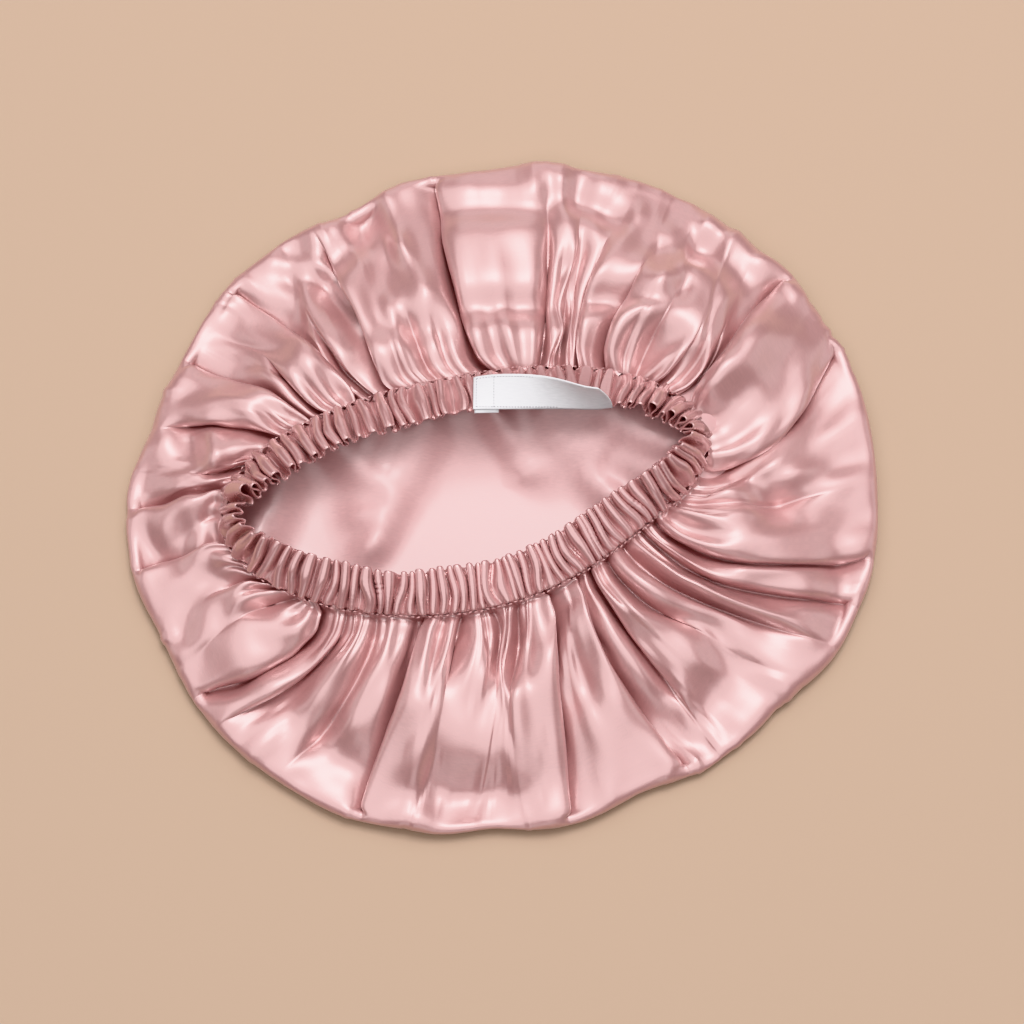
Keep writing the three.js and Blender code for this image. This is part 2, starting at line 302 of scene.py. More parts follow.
@dataclass(frozen=True)
class Ridge:
    """A soft ridge in the cloth, or a hollow where its height is less than nothing.

    Attributes:
        start: Where it starts.
        end: Where it ends.
        width: How wide it is to either side.
        height: How high it is.
        fade: How many widths it takes to fade out past its ends.
    """

    start: tuple[float, float]
    end: tuple[float, float]
    width: float
    height: float
    fade: float = 1.5

    @classmethod
    def seen(
        cls, start: tuple[float, float], end: tuple[float, float], width: float, height: float
    ) -> "Ridge":
        """A ridge or hollow of the sheet from where the photograph shows it.

        Args:
            start: Pixel where it starts, right and down.
            end: Pixel where it ends.
            width: How wide it is to either side.
            height: How high it is.

        Returns:
            The ridge, in millimetres on the level of the sheet.
        """
        return cls(PHOTO.place(*start, SHEET_LEVEL), PHOTO.place(*end, SHEET_LEVEL), width, height)

    def height_at(self, x: Array, y: Array) -> Array:
        """A bell across the ridge, square to its line, which fades out past its ends.

        Args:
            x: Where to read it.
            y: Where to read it.

        Returns:
            The height there.
        """
        way = np.subtract(self.end, self.start)
        length = math.hypot(*way)
        way = way / length
        along = (x - self.start[0]) * way[0] + (y - self.start[1]) * way[1]
        aside = (y - self.start[1]) * way[0] - (x - self.start[0]) * way[1]
        past = np.maximum(np.maximum(-along, along - length), 0.0) / (self.fade * self.width)
        return self.height * np.exp(-((aside / self.width) ** 2) - past * past)


FLOOR_RIDGES: tuple[Ridge, ...] = (
    Ridge((-97, 2), (-112, -38), 6, 11),
    Ridge((-78, 20), (-66, 6), 7, 8),
    Ridge((-56, 24), (-62, -12), 5, 9.5),
    Ridge((-34, 24), (-58, -28), 6, 11),
    Ridge((-4, 30), (14, 8), 6, 9.5),
    Ridge((20, 28), (50, -6), 6, 11),
    Ridge((46, 28), (72, 14), 5, 9.5),
    Ridge((44, 17), (66, 4), 5, 8),
    Ridge((-98, -44), (-60, -56), 7, 8),
    Ridge((-75, 28), (55, 46), 18, 14),
    Ridge((-124, -25), (-118, 5), 18, 10),
    Ridge((86, 2), (90, 34), 20, 15),
    Ridge((42, 36), (84, 22), 15, 10),
)  # slack in the underside, which is seen through the mouth

SHEET_RIDGES: tuple[Ridge, ...] = (
    Ridge.seen((570, 196), (604, 208), 8, -7.5),
    Ridge.seen((564, 180), (568, 245), 5, 4),
    Ridge.seen((552, 330), (568, 250), 5, 4),
    Ridge.seen((640, 206), (594, 295), 5, 5),
    Ridge.seen((606, 306), (612, 306), 7, -6),
    Ridge.seen((664, 248), (692, 242), 8, -7.5),
    Ridge.seen((648, 312), (662, 282), 5, 4.5),
    Ridge.seen((652, 303), (674, 290), 5, -5),
    Ridge.seen((788, 297), (780, 310), 9, -7.5),
    Ridge.seen((806, 288), (716, 395), 7, 7.5),
    Ridge((123, 46), (110, 24), 10, -5),
    Ridge((98, 25), (106, 35), 6, -5),
    Ridge.seen((730, 362), (697, 392), 6, -6),
    Ridge.seen((720, 222), (790, 275), 6, 4),
    Ridge.seen((712, 250), (740, 275), 8, -5),
    Ridge.seen((830, 347), (822, 365), 9, -5),
    Ridge.seen((384, 196), (398, 245), 5, 4.5),
    Ridge.seen((398, 245), (426, 296), 5, 4),
    Ridge.seen((363, 216), (340, 254), 8, -7.5),
    Ridge.seen((276, 256), (324, 262), 5, 4),
    Ridge.seen((234, 304), (284, 322), 8, -7.5),
    Ridge.seen((302, 287), (318, 340), 5, 4),
    Ridge.seen((320, 285), (354, 334), 6, -6),
    Ridge.seen((340, 279), (364, 328), 5, 4),
    Ridge.seen((490, 310), (532, 310), 8, -6),
    Ridge.seen((455, 209), (536, 210), 7, -6),
    Ridge.seen((405, 330), (430, 335), 7, -5),
    Ridge.seen((738, 478), (778, 504), 9, -6),
    Ridge.seen((684, 516), (744, 513), 5, 4),
    Ridge.seen((744, 572), (819, 560), 5, 4.5),
    Ridge.seen((840, 570), (842, 600), 9, -7.5),
    Ridge.seen((700, 590), (806, 630), 5, 4),
    Ridge.seen((680, 624), (708, 634), 9, -7.5),
    Ridge.seen((720, 700), (745, 675), 12, -6),
    Ridge.seen((440, 788), (505, 784), 12, -9),
    Ridge.seen((522, 700), (525, 770), 5, 5),
    Ridge.seen((424, 715), (414, 770), 5, 4),
    Ridge.seen((517, 650), (518, 664), 7, -6),
    Ridge.seen((575, 670), (578, 686), 8, -6),
    Ridge.seen((656, 715), (680, 735), 8, -7.5),
    Ridge.seen((686, 700), (692, 728), 5, 4.5),
    Ridge.seen((330, 745), (345, 760), 10, -6),
    Ridge.seen((310, 660), (295, 690), 8, -5),
    Ridge.seen((186, 440), (192, 452), 8, -6),
    Ridge.seen((212, 440), (214, 456), 5, 4),
    Ridge.seen((180, 528), (200, 528), 9, -6),
    Ridge.seen((184, 574), (204, 572), 9, -6),
    Ridge.seen((207, 558), (246, 580), 5, 4),
)  # ridges and hollows of the gathered sheet, most of them placed by the photograph's pixels


def lift_of(ridges: tuple[Ridge, ...], plan: Array) -> Array:
    """Sum of a table's ridges and hollows.

    Args:
        ridges: The table.
        plan: Where to read it, with x and y last.

    Returns:
        The lift at each place.
    """
    return sum(ridge.height_at(plan[..., 0], plan[..., 1]) for ridge in ridges)


def fold_column(name: str) -> Array:
    """One column of the fold table."""
    return np.array([getattr(fold, name) for fold in FOLDS], dtype=float)


class Facing(Enum):
    """Which way a grid's quads wind."""

    FORWARD = 1
    REVERSED = -1


@dataclass
class GridPiece:
    """A piece whose surface is a grid of points.

    Attributes:
        name: The piece's name.
        points: Rows by columns by 3, in millimetres.
        cut: Rows by columns by 2, places on the flat cloth, in millimetres.
        round_columns: Whether the last column joins the first.
        round_rows: Whether the last row joins the first.
        pole: Whether the last row closes in a fan on its middle.
        facing: Winding of the quads.
    """

    name: str
    points: Array
    cut: Array
    round_columns: bool = True
    round_rows: bool = False
    pole: bool = False
    facing: Facing = Facing.FORWARD

    def build(self) -> bpy.types.Object:
        """Make the object: quads between neighbours in the grid, and the fan where it has a pole.

        Returns:
            The linked object, smooth, with the flat cloth as its UV map.
        """
        rows, columns = self.points.shape[:2]
        index = np.arange(rows * columns).reshape(rows, columns)
        along = np.concatenate([index, index[:, :1]], axis=1) if self.round_columns else index
        along = np.concatenate([along, along[:1]], axis=0) if self.round_rows else along
        corners = [along[:-1, :-1], along[1:, :-1], along[1:, 1:], along[:-1, 1:]]
        quads = np.stack(corners, axis=-1).reshape(-1, 4)[:, :: self.facing.value]
        places = self.points.reshape(-1, 3)
        cut = self.cut.reshape(-1, 2)
        loops, starts = quads.ravel(), np.arange(len(quads)) * 4
        if self.pole:
            middle = len(places)
            ring = along[-1]
            fan = np.stack([ring[:-1], np.full(len(ring) - 1, middle), ring[1:]], axis=-1)
            fan = fan[:, :: self.facing.value]
            starts = np.concatenate([starts, len(loops) + np.arange(len(fan)) * 3])
            loops = np.concatenate([loops, fan.ravel()])
            places = np.concatenate([places, self.points[-1].mean(axis=0, keepdims=True)])
            cut = np.concatenate([cut, self.cut[-1].mean(axis=0, keepdims=True)])
        mesh = bpy.data.meshes.new(self.name)
        mesh.vertices.add(len(places))
        mesh.vertices.foreach_set("co", (places * MM).ravel())
        mesh.loops.add(len(loops))
        mesh.loops.foreach_set("vertex_index", loops.astype(np.int32))
        mesh.polygons.add(len(starts))
        mesh.polygons.foreach_set("loop_start", starts.astype(np.int32))
        mesh.polygons.foreach_set("use_smooth", np.ones(len(starts), dtype=bool))
        mesh.update(calc_edges=True)
        layer = mesh.uv_layers.new(name=CUT_MAP)
        layer.data.foreach_set("uv", (cut[loops] * MM).ravel())
        mesh.validate()
        return linked(self.name, mesh)


class SatinWeave:
    """Shader group for satin: slow changes of tone, float threads and a soft, uneven shine.

    Attributes:
        NAME: The group's name.
        INPUTS: What goes in, and its kind.
        OUTPUTS: What comes out, and its kind.
        TONE_SCALE: How often the tone changes in a metre.
        TONE_DETAIL: How much detail those changes have.
        THREAD_SCALE: How often the threads change in a metre, along, across and through the cloth.
        THREAD_TURN: Degrees that the threads are turned by on the flat cloth.
        THREAD_DETAIL: How much detail they have.
        FLECK: How dark and how light a thread makes the colour.
        DULL_START: How quickly the dull side starts, in shares for each metre.
        DULL_ROUGH: How much rougher the dull side is.
        DULL_LOSS: Share of the shine that the dull side lacks.
        UNEVEN: How much rougher the cloth gets with its tone.
    """

    NAME = "satin_weave"
    INPUTS = {
        "Vector": "Vector", "Color": "Color", "Tint": "Color", "DullPaintedFill": "Color",
        "Roughness": "Float", "Metallic": "Float", "Coat": "Float", "Middle": "Float",
    }
    OUTPUTS = {
        "Color": "Color", "Roughness": "Float", "Metallic": "Float", "Coat": "Float", "Height": "Float",
    }
    TONE_SCALE = 16.0
    TONE_DETAIL = 3.0
    THREAD_SCALE = (280.0, 1500.0, 280.0)
    THREAD_TURN = 35.0
    THREAD_DETAIL = 2.0
    FLECK = (0.88, 1.12)
    DULL_START = 50.0
    DULL_ROUGH = 0.2
    DULL_LOSS = 0.8
    UNEVEN = 0.12

    @classmethod
    def group(cls) -> bpy.types.NodeTree:
        """The group, built once.

        Returns:
            A node tree with the named inputs and outputs. Nearer than Middle to the centre of the
            cut the cloth shows its dull side, in a colour of its own that is lighter than the
            shiny side's: partly the dull satin's own look, partly painted fill light for the
            shaded inside of the mouth.
        """
        known = bpy.data.node_groups.get(cls.NAME)
        if known:
            return known
        tree = bpy.data.node_groups.new(cls.NAME, "ShaderNodeTree")
        for way, sockets in (("INPUT", cls.INPUTS), ("OUTPUT", cls.OUTPUTS)):
            for name, kind in sockets.items():
                tree.interface.new_socket(name, in_out=way, socket_type=f"NodeSocket{kind}")
        source = tree.nodes.new("NodeGroupInput").outputs
        result = tree.nodes.new("NodeGroupOutput").inputs
        tone = cls.noise(tree, source["Vector"], cls.TONE_SCALE, cls.TONE_DETAIL)
        thread = cls.threads(tree, source["Vector"])
        dull = cls.dull_side(tree, source["Vector"], source["Middle"])
        shine = cls.mix(tree, tone, source["Color"], source["Tint"])
        # On the dull side the colour turns to the lighter dull colour, partly the dull satin's own look
        # and partly painted fill light for the shaded inside of the mouth.
        face = cls.mix(tree, dull, shine, source["DullPaintedFill"])
        gloss = cls.maths(tree, "MULTIPLY_ADD", tone, cls.UNEVEN, source["Roughness"])
        shiny = cls.maths(tree, "MULTIPLY_ADD", dull, -cls.DULL_LOSS, 1.0)
        made = {
            "Color": cls.flecked(tree, face, thread),
            "Roughness": cls.maths(tree, "MULTIPLY_ADD", dull, cls.DULL_ROUGH, gloss),
            "Metallic": cls.maths(tree, "MULTIPLY", shiny, source["Metallic"]),
            "Coat": cls.maths(tree, "MULTIPLY", shiny, source["Coat"]),
            "Height": thread,
        }
        for name, socket in made.items():
            tree.links.new(socket, result[name])
        return tree

    @staticmethod
    def noise(
        tree: bpy.types.NodeTree, at: bpy.types.NodeSocket, scale: float, detail: float
    ) -> bpy.types.NodeSocket:
        """Add a noise.

        Args:
            tree: The tree that it goes in.
            at: Where it is read.
            scale: How often it changes in a metre.
            detail: How much detail it has.

        Returns:
            Its strength.
        """
        node = tree.nodes.new("ShaderNodeTexNoise")
        set_inputs(node, {"Scale": scale, "Detail": detail})
        tree.links.new(at, node.inputs["Vector"])
        return node.outputs["Fac"]

    @classmethod
    def threads(cls, tree: bpy.types.NodeTree, at: bpy.types.NodeSocket) -> bpy.types.NodeSocket:
        """The float threads: a noise drawn out along one direction of the cloth.

        Args:
            tree: The tree that they go in.
            at: Where they are read.

        Returns:
            Their height.
        """
        stretch = tree.nodes.new("ShaderNodeMapping")
        turn = (0.0, 0.0, math.radians(cls.THREAD_TURN))
        set_inputs(stretch, {"Scale": cls.THREAD_SCALE, "Rotation": turn})
        tree.links.new(at, stretch.inputs["Vector"])
        return cls.noise(tree, stretch.outputs["Vector"], 1.0, cls.THREAD_DETAIL)

    @classmethod
    def dull_side(
        cls, tree: bpy.types.NodeTree, at: bpy.types.NodeSocket, middle: bpy.types.NodeSocket
    ) -> bpy.types.NodeSocket:
        """Where the dull side shows: nearer than a radius to the centre of the cut.

        Args:
            tree: The tree that it goes in.
            at: Where it is read.
            middle: The radius.

        Returns:
            A share, 1 on the dull side.
        """
        away = tree.nodes.new("ShaderNodeVectorMath")
        away.operation = "LENGTH"
        tree.links.new(at, away.inputs[0])
        inside = cls.maths(tree, "SUBTRACT", middle, away.outputs["Value"])
        dull = cls.maths(tree, "MULTIPLY", inside, cls.DULL_START)
        dull.node.use_clamp = True
        return dull

    @staticmethod
    def mix(
        tree: bpy.types.NodeTree,
        share: bpy.types.NodeSocket,
        first: bpy.types.NodeSocket,
        second: bpy.types.NodeSocket,
    ) -> bpy.types.NodeSocket:
        """Mix two colours.

        Args:
            tree: The tree that the node goes in.
            share: Share of the second colour.
            first: The first colour.
            second: The second colour.

        Returns:
            The mixed colour.
        """
        node = tree.nodes.new("ShaderNodeMix")
        node.data_type = "RGBA"
        for name, socket in (("Factor", share), ("A", first), ("B", second)):
            tree.links.new(socket, node.inputs[name])
        return node.outputs["Result"]

    @classmethod
    def flecked(
        cls, tree: bpy.types.NodeTree, colour: bpy.types.NodeSocket, thread: bpy.types.NodeSocket
    ) -> bpy.types.NodeSocket:
        """A colour made darker and lighter by the threads.

        Args:
            tree: The tree that the nodes go in.
            colour: The colour.
            thread: Height of the threads.

        Returns:
            The flecked colour.
        """
        fleck = tree.nodes.new("ShaderNodeMapRange")
        set_inputs(fleck, {"To Min": cls.FLECK[0], "To Max": cls.FLECK[1]})
        tree.links.new(thread, fleck.inputs["Value"])
        shade = tree.nodes.new("ShaderNodeVectorMath")
        shade.operation = "SCALE"
        tree.links.new(colour, shade.inputs[0])
        tree.links.new(fleck.outputs["Result"], shade.inputs["Scale"])
        return shade.outputs["Vector"]

    @staticmethod
    def maths(
        tree: bpy.types.NodeTree, operation: str, *values: bpy.types.NodeSocket | float
    ) -> bpy.types.NodeSocket:
        """Add a Math node.

        Args:
            tree: The tree that it goes in.
            operation: What it does.
            values: Its inputs, sockets or numbers.

        Returns:
            Its output.
        """
        node = tree.nodes.new("ShaderNodeMath")
        node.operation = operation
        for place, value in enumerate(values):
            if isinstance(value, float):
                node.inputs[place].default_value = value
            else:
                tree.links.new(value, node.inputs[place])
        return node.outputs["Value"]


@dataclass(frozen=True)
class ClothFinish:
    """A woven finish built on the satin group.

    Attributes:
        name: The material's name.
        colour: Linear colour of the cloth.
        tint: Linear colour that it drifts to.
        roughness: Lowest roughness.
        metallic: Share of the light that is thrown back in the cloth's own colour, as satin does.
        specular: Strength of the reflection.
        shine: Colour of the reflection.
        sheen: Weight of the soft edge light.
        grain: Height of the threads in metres.
        coat: Weight of the clear shine over the colour.
        coat_roughness: Roughness of that shine.
        coat_ior: Its index of refraction.
        sheen_roughness: Roughness of the soft edge light.
        relief: Strength of the threads' bump.
        middle: Radius about the centre of the cut, in metres, inside which its dull side shows.
        back: Linear colour of the dull side, lighter than the shiny side's: partly the dull satin's own
            look, partly painted fill light for the shaded inside of the mouth.
    """

    name: str
    colour: Colour
    tint: Colour
    roughness: float
    metallic: float
    specular: float
    shine: Colour
    sheen: float
    grain: float
    coat: float = 0.0
    coat_roughness: float = 0.3
    coat_ior: float = 2.0
    sheen_roughness: float = 0.4
    relief: float = 0.25
    middle: float = 0.0
    # lighter than the shiny side: partly the dull satin's own look, partly painted fill light that lifts
    # the shaded inside of the mouth
    back: Colour = (0.545, 0.32, 0.323)

    def material(self) -> bpy.types.Material:
        """Make the material.

        Returns:
            A material whose colour, roughness and bump come from the satin group on the flat cloth.
        """
        made = bpy.data.materials.new(self.name)
        made.use_nodes = True
        nodes, links = made.node_tree.nodes, made.node_tree.links
        shader = nodes["Principled BSDF"]
        place = nodes.new("ShaderNodeUVMap")
        place.uv_map = CUT_MAP
        weave = nodes.new("ShaderNodeGroup")
        weave.node_tree = SatinWeave.group()
        bump = nodes.new("ShaderNodeBump")
        set_inputs(shader, {
            "Specular IOR Level": self.specular,
            "Specular Tint": (*self.shine, 1.0),
            "Sheen Weight": self.sheen,
            "Sheen Roughness": self.sheen_roughness,
            "Sheen Tint": (*self.shine, 1.0),
            "Coat Roughness": self.coat_roughness,
            "Coat IOR": self.coat_ior,
        })
        set_inputs(weave, {
            "Color": (*self.colour, 1.0),
            "Tint": (*self.tint, 1.0),
            "Roughness": self.roughness,
            "Metallic": self.metallic,
            "Coat": self.coat,
            "Middle": self.middle,
            "DullPaintedFill": (*self.back, 1.0),
        })
        set_inputs(bump, {"Strength": self.relief, "Distance": self.grain})
        links.new(place.outputs["UV"], weave.inputs["Vector"])
        links.new(weave.outputs["Color"], shader.inputs["Base Color"])
        links.new(weave.outputs["Roughness"], shader.inputs["Roughness"])
        links.new(weave.outputs["Metallic"], shader.inputs["Metallic"])
        links.new(weave.outputs["Coat"], shader.inputs["Coat Weight"])
        links.new(weave.outputs["Height"], bump.inputs["Height"])
        links.new(bump.outputs["Normal"], shader.inputs["Normal"])
        return made


ROSE_SATIN = ClothFinish(
    name="rose_satin",
    colour=(0.455, 0.232, 0.232),
    tint=(0.515, 0.272, 0.272),
    roughness=0.31,
    metallic=0.36,
    specular=1.0,
    shine=(1.0, 0.96, 0.95),
    sheen=0.05,
    grain=0.0002,
    coat=1.0,
    # inside this radius the lighter dull colour shows, partly painted fill light for the shaded inside of
    # the mouth
    middle=0.165,
)
BAND_SATIN = replace(
    ROSE_SATIN,
    name="rose_satin_band",
    colour=(0.455, 0.225, 0.225),
    tint=(0.515, 0.265, 0.265),
    roughness=0.16,
    coat_roughness=0.17,
    middle=0.0,
)
LABEL_TAPE = ClothFinish(
    name="white_tape",
    colour=(0.60, 0.59, 0.61),
    tint=(0.64, 0.63, 0.65),
    roughness=0.36,
    metallic=0.1,
    specular=0.5,
    shine=(1.0, 1.0, 1.0),
    sheen=0.1,
    grain=0.0001,
)
ROSE_THREAD = ClothFinish(
    name="rose_thread",
    colour=(0.42, 0.22, 0.22),
    tint=(0.52, 0.29, 0.29),
    roughness=0.4,
    metallic=0.2,
    specular=0.6,
    shine=(1.0, 0.95, 0.95),
    sheen=0.2,
    grain=0.0001,
)
WHITE_THREAD = ClothFinish(
    name="white_thread",
    colour=(0.28, 0.27, 0.29),
    tint=(0.34, 0.33, 0.35),
    roughness=0.5,
    metallic=0.0,
    specular=0.4,
    shine=(1.0, 1.0, 1.0),
    sheen=0.1,
    grain=0.0001,
)


@dataclass
class Mouth:
    """The seam line round the mouth and how the band stands on it, in millimetres and degrees.

    Attributes:
        centre: Middle of the ellipse that the seam follows.
        half_length: Half the ellipse's length.
        half_width: Half its width.
        turn: How far it is turned.
        sag_along: Where along it the seam sags most to the front.
        sag_spread: How far the sag spreads.
        sag_depth: How deep it is.
        pinch_angle: Where the ellipse is pinched in.
        pinch_spread: How far the pinch spreads.
        pinch_depth: Share of the ellipse that it takes off.
        seam_height: How high the seam lies.
        seam_gap: How far inside it the band stands.
        band_drop: How far below the seam the foot of the band is.
        half_step: Step to either side by which the seam's direction is measured.
        measures: Points by which its length is measured.
    """

    centre: tuple[float, float] = (-15.5, -3.3)
    half_length: float = 109.0
    half_width: float = 53.4
    turn: float = 10.6
    sag_along: float = -10.0
    sag_spread: float = 80.0
    sag_depth: float = 5.2
    pinch_angle: float = -45.0
    pinch_spread: float = 26.0
    pinch_depth: float = 0.09
    seam_height: float = 26.0
    seam_gap: float = 0.7
    band_drop: float = 0.8
    half_step: float = 0.5
    measures: int = 2881

    def point(self, angle: Array) -> Array:
        """The seam in plan: a turned ellipse with a bell-shaped sag and a bell-shaped pinch.

        Args:
            angle: Angles round the mouth.

        Returns:
            Points, with x and y last.
        """
        away = (np.mod(angle - self.pinch_angle + TURN / 2, TURN) - TURN / 2) / self.pinch_spread
        pinch = 1.0 - self.pinch_depth * np.exp(-away * away)
        x = self.half_length * pinch * np.cos(np.radians(angle))
        sag = self.sag_depth * np.exp(-(((x - self.sag_along) / self.sag_spread) ** 2))
        y = self.half_width * pinch * np.sin(np.radians(angle)) - sag
        cos, sin = math.cos(math.radians(self.turn)), math.sin(math.radians(self.turn))
        turned = [x * cos - y * sin + self.centre[0], x * sin + y * cos + self.centre[1]]
        return np.stack(turned, axis=-1)

    def outward(self, angle: Array) -> Array:
        """Unit directions out of the mouth in plan, square to the seam."""
        along = self.point(angle + self.half_step) - self.point(angle - self.half_step)
        return unit(np.stack([along[..., 1], -along[..., 0]], axis=-1))

    def band_axes(self, angle: Array) -> tuple[Array, Array, Array]:
        """The band's axes round the mouth.

        Args:
            angle: Angles round the mouth.

        Returns:
            The seam edge, the way across the band to its mouth edge and the way out of its face.
        """
        outward = self.outward(angle)
        tilt = np.radians(closed_table(BAND_TILT[:, 0], BAND_TILT[:, 1], angle))
        lying, rising = np.cos(tilt)[..., None], np.sin(tilt)[..., None]
        across = np.concatenate([-outward * lying, rising], axis=-1)
        face = np.concatenate([outward * rising, lying], axis=-1)
        plan = self.point(angle) - outward * self.seam_gap
        height = np.full(plan.shape[:-1] + (1,), self.seam_height - self.band_drop)
        return np.concatenate([plan, height], axis=-1), across, face

    def around(self, count: int) -> tuple[Array, Array]:
        """Angles at even steps along the seam.

        Args:
            count: How many steps go round.

        Returns:
            The angles, and the length along the seam at each.
        """
        fine = np.linspace(0.0, TURN, self.measures)
        length = run_length(self.point(fine))
        even = np.arange(count) / count * length[-1]
        return np.interp(even, length, fine), even


def refine(points: Array) -> Array:
    """Twice as many rows and columns.

    Round each row, which closes on itself, the new points are (-1, 9, 9, -1) / 16 of the four
    around them, so creases stay sharp. Along each column the old points become (1, 6, 1) / 8 of
    their line and the new ones lie midway, so it is smooth. The ends of the columns stay.

    Args:
        points: Rows by columns by 3.

    Returns:
        The finer grid.
    """
    before, after = np.roll(points, 1, axis=1), np.roll(points, -1, axis=1)
    between = (9 * (points + after) - before - np.roll(points, -2, axis=1)) / 16
    wide = np.stack([points, between], axis=2).reshape(points.shape[0], -1, 3)
    kept = wide.copy()
    kept[1:-1] = (wide[:-2] + 6 * wide[1:-1] + wide[2:]) / 8
    middle = (wide[:-1] + wide[1:]) / 2
    finer = np.empty((2 * len(wide) - 1,) + wide.shape[1:])
    finer[0::2], finer[1::2] = kept, middle
    return finer


@dataclass
class Drape:
    """How gathered cloth is let settle from the shape it is laid in.

    Attributes:
        slack: How much longer than the laid folds the cloth is round the mouth.
        along: The same from the seam to the outline.
        stiffness: Resistance to stretching.
        bending: Resistance to bending.
        weight: Share of gravity.
        crease_hold: How firmly the main creases are held in place.
        frames: Steps that it settles for.
        cap: How far a point may move, in millimetres.
        calm: How often the movement is averaged with its neighbours', against stray buckles.
        scale: How much larger than life the cloth is while it settles.
        shear_share: Resistance to shearing, as a share of that to stretching.
        least_drop: Least slope of the cloth at its own length, as a share of the way along it.
        grades: How many grades of firmness it is held by.
        quality: Steps in each frame.
        mass: Mass of a point.
        air: How much the air slows it.
        clearance: How far apart layers stay while it settles, in metres at that scale.
        floor_half: Half the side of the floor that it settles over, in the same metres.
    """

    slack: float = 1.0
    along: float = 1.0
    stiffness: float = 20.0
    bending: float = 3.0
    weight: float = 0.04
    crease_hold: float = 0.3
    frames: int = 14
    cap: float = 12.0
    calm: int = 3
    scale: float = 10.0
    shear_share: float = 0.25
    least_drop: float = 0.2
    grades: int = 20
    quality: int = 6
    mass: float = 0.3
    air: float = 2.0
    clearance: float = 0.006
    floor_half: float = 4.0

    def rest_shape(self, points: Array, sheet_rows: int) -> Array:
        """The cloth at its own length: a solid of revolution with rings as long as the laid folds.

        Args:
            points: The laid cloth, rows by columns by 3.
            sheet_rows: Rows from the seam to the roll, whose folds set the columns' widths.

        Returns:
            Points, rows by columns by 3.
        """
        ring = np.linalg.norm(np.roll(points, -1, axis=1) - points, axis=-1)
        radius = ring.sum(axis=1) * self.slack / (2 * np.pi)
        step = row_steps(points) * self.along
        drop = np.sqrt(np.maximum(step**2 - np.diff(radius) ** 2, (self.least_drop * step) ** 2))
        height = -np.concatenate([[0.0], np.cumsum(drop)])
        column = (ring / ring.sum(axis=1, keepdims=True))[:sheet_rows].mean(axis=0)
        turn = 2 * np.pi * (np.cumsum(column) - column)
        flat = np.stack([np.cos(turn), np.sin(turn)], axis=-1)[None] * radius[:, None, None]
        tall = np.broadcast_to(height[:, None, None], flat.shape[:2] + (1,))
        return np.concatenate([flat, tall], axis=-1)

    def settle(self, points: Array, hold: Array, sheet_rows: int) -> Array:
        """Let the cloth settle over a floor, held at the seam, the foot of the roll and the creases.

        Args:
            points: The laid cloth in millimetres, rows by columns by 3.
            hold: How firmly each point is held, 0 to 1.
            sheet_rows: Rows from the seam to the roll.

        Returns:
            The settled points, none further than the cap from where it was laid.
        """
        piece = GridPiece("laid_cloth", points * self.scale, points[..., :2]).build()
        piece.shape_key_add(name="laid")
        rest = piece.shape_key_add(name="rest")
        rest.data.foreach_set("co", (self.rest_shape(points, sheet_rows) * self.scale * MM).ravel())
        pins = piece.vertex_groups.new(name="hold")
        level = np.round(hold.ravel() * self.grades).astype(int)
        for grade in range(1, self.grades + 1):
            pins.add(np.flatnonzero(level == grade).tolist(), grade / self.grades, "REPLACE")
        cloth = piece.modifiers.new("settle", "CLOTH")
        settings = cloth.settings
        settings.quality = self.quality
        settings.mass = self.mass
        settings.air_damping = self.air
        settings.tension_stiffness = settings.compression_stiffness = self.stiffness
        settings.shear_stiffness = self.stiffness * self.shear_share
        settings.bending_stiffness = self.bending
        settings.rest_shape_key = rest
        settings.vertex_group_mass = pins.name
        settings.effector_weights.gravity = self.weight
        cloth.collision_settings.use_self_collision = True
        cloth.collision_settings.self_distance_min = self.clearance
        cloth.collision_settings.distance_min = self.clearance
        ground = level_square("settle_floor", self.floor_half, 0.0)
        ground.modifiers.new("ground", "COLLISION")
        scene = bpy.context.scene
        for step in range(1, self.frames + 1):
            scene.frame_set(step)
        shown = piece.evaluated_get(bpy.context.evaluated_depsgraph_get())
        moved = np.empty(points.size, dtype=np.float32)
        shown.data.vertices.foreach_get("co", moved)
        bpy.data.objects.remove(piece)
        bpy.data.objects.remove(ground)
        scene.frame_set(1)
        shift = moved.reshape(points.shape) / (self.scale * MM) - points
        far = np.linalg.norm(shift, axis=-1, keepdims=True)
        log.info("settled by up to %.1f mm, %.1f mm on average", far.max(), far.mean())
        return points + self.calmed(shift * np.minimum(1.0, self.cap / np.maximum(far, TINY)))

    def calmed(self, shift: Array) -> Array:
        """Average a movement with its neighbours', a quarter from each side.

        Args:
            shift: Rows by columns by 3. The first and last row are averaged only round themselves.

        Returns:
            The averaged movement.
        """
        for _ in range(self.calm):
            shift = (np.roll(shift, 1, axis=1) + 2 * shift + np.roll(shift, -1, axis=1)) / 4
            shift[1:-1] = (shift[:-2] + 2 * shift[1:-1] + shift[2:]) / 4
        return shift


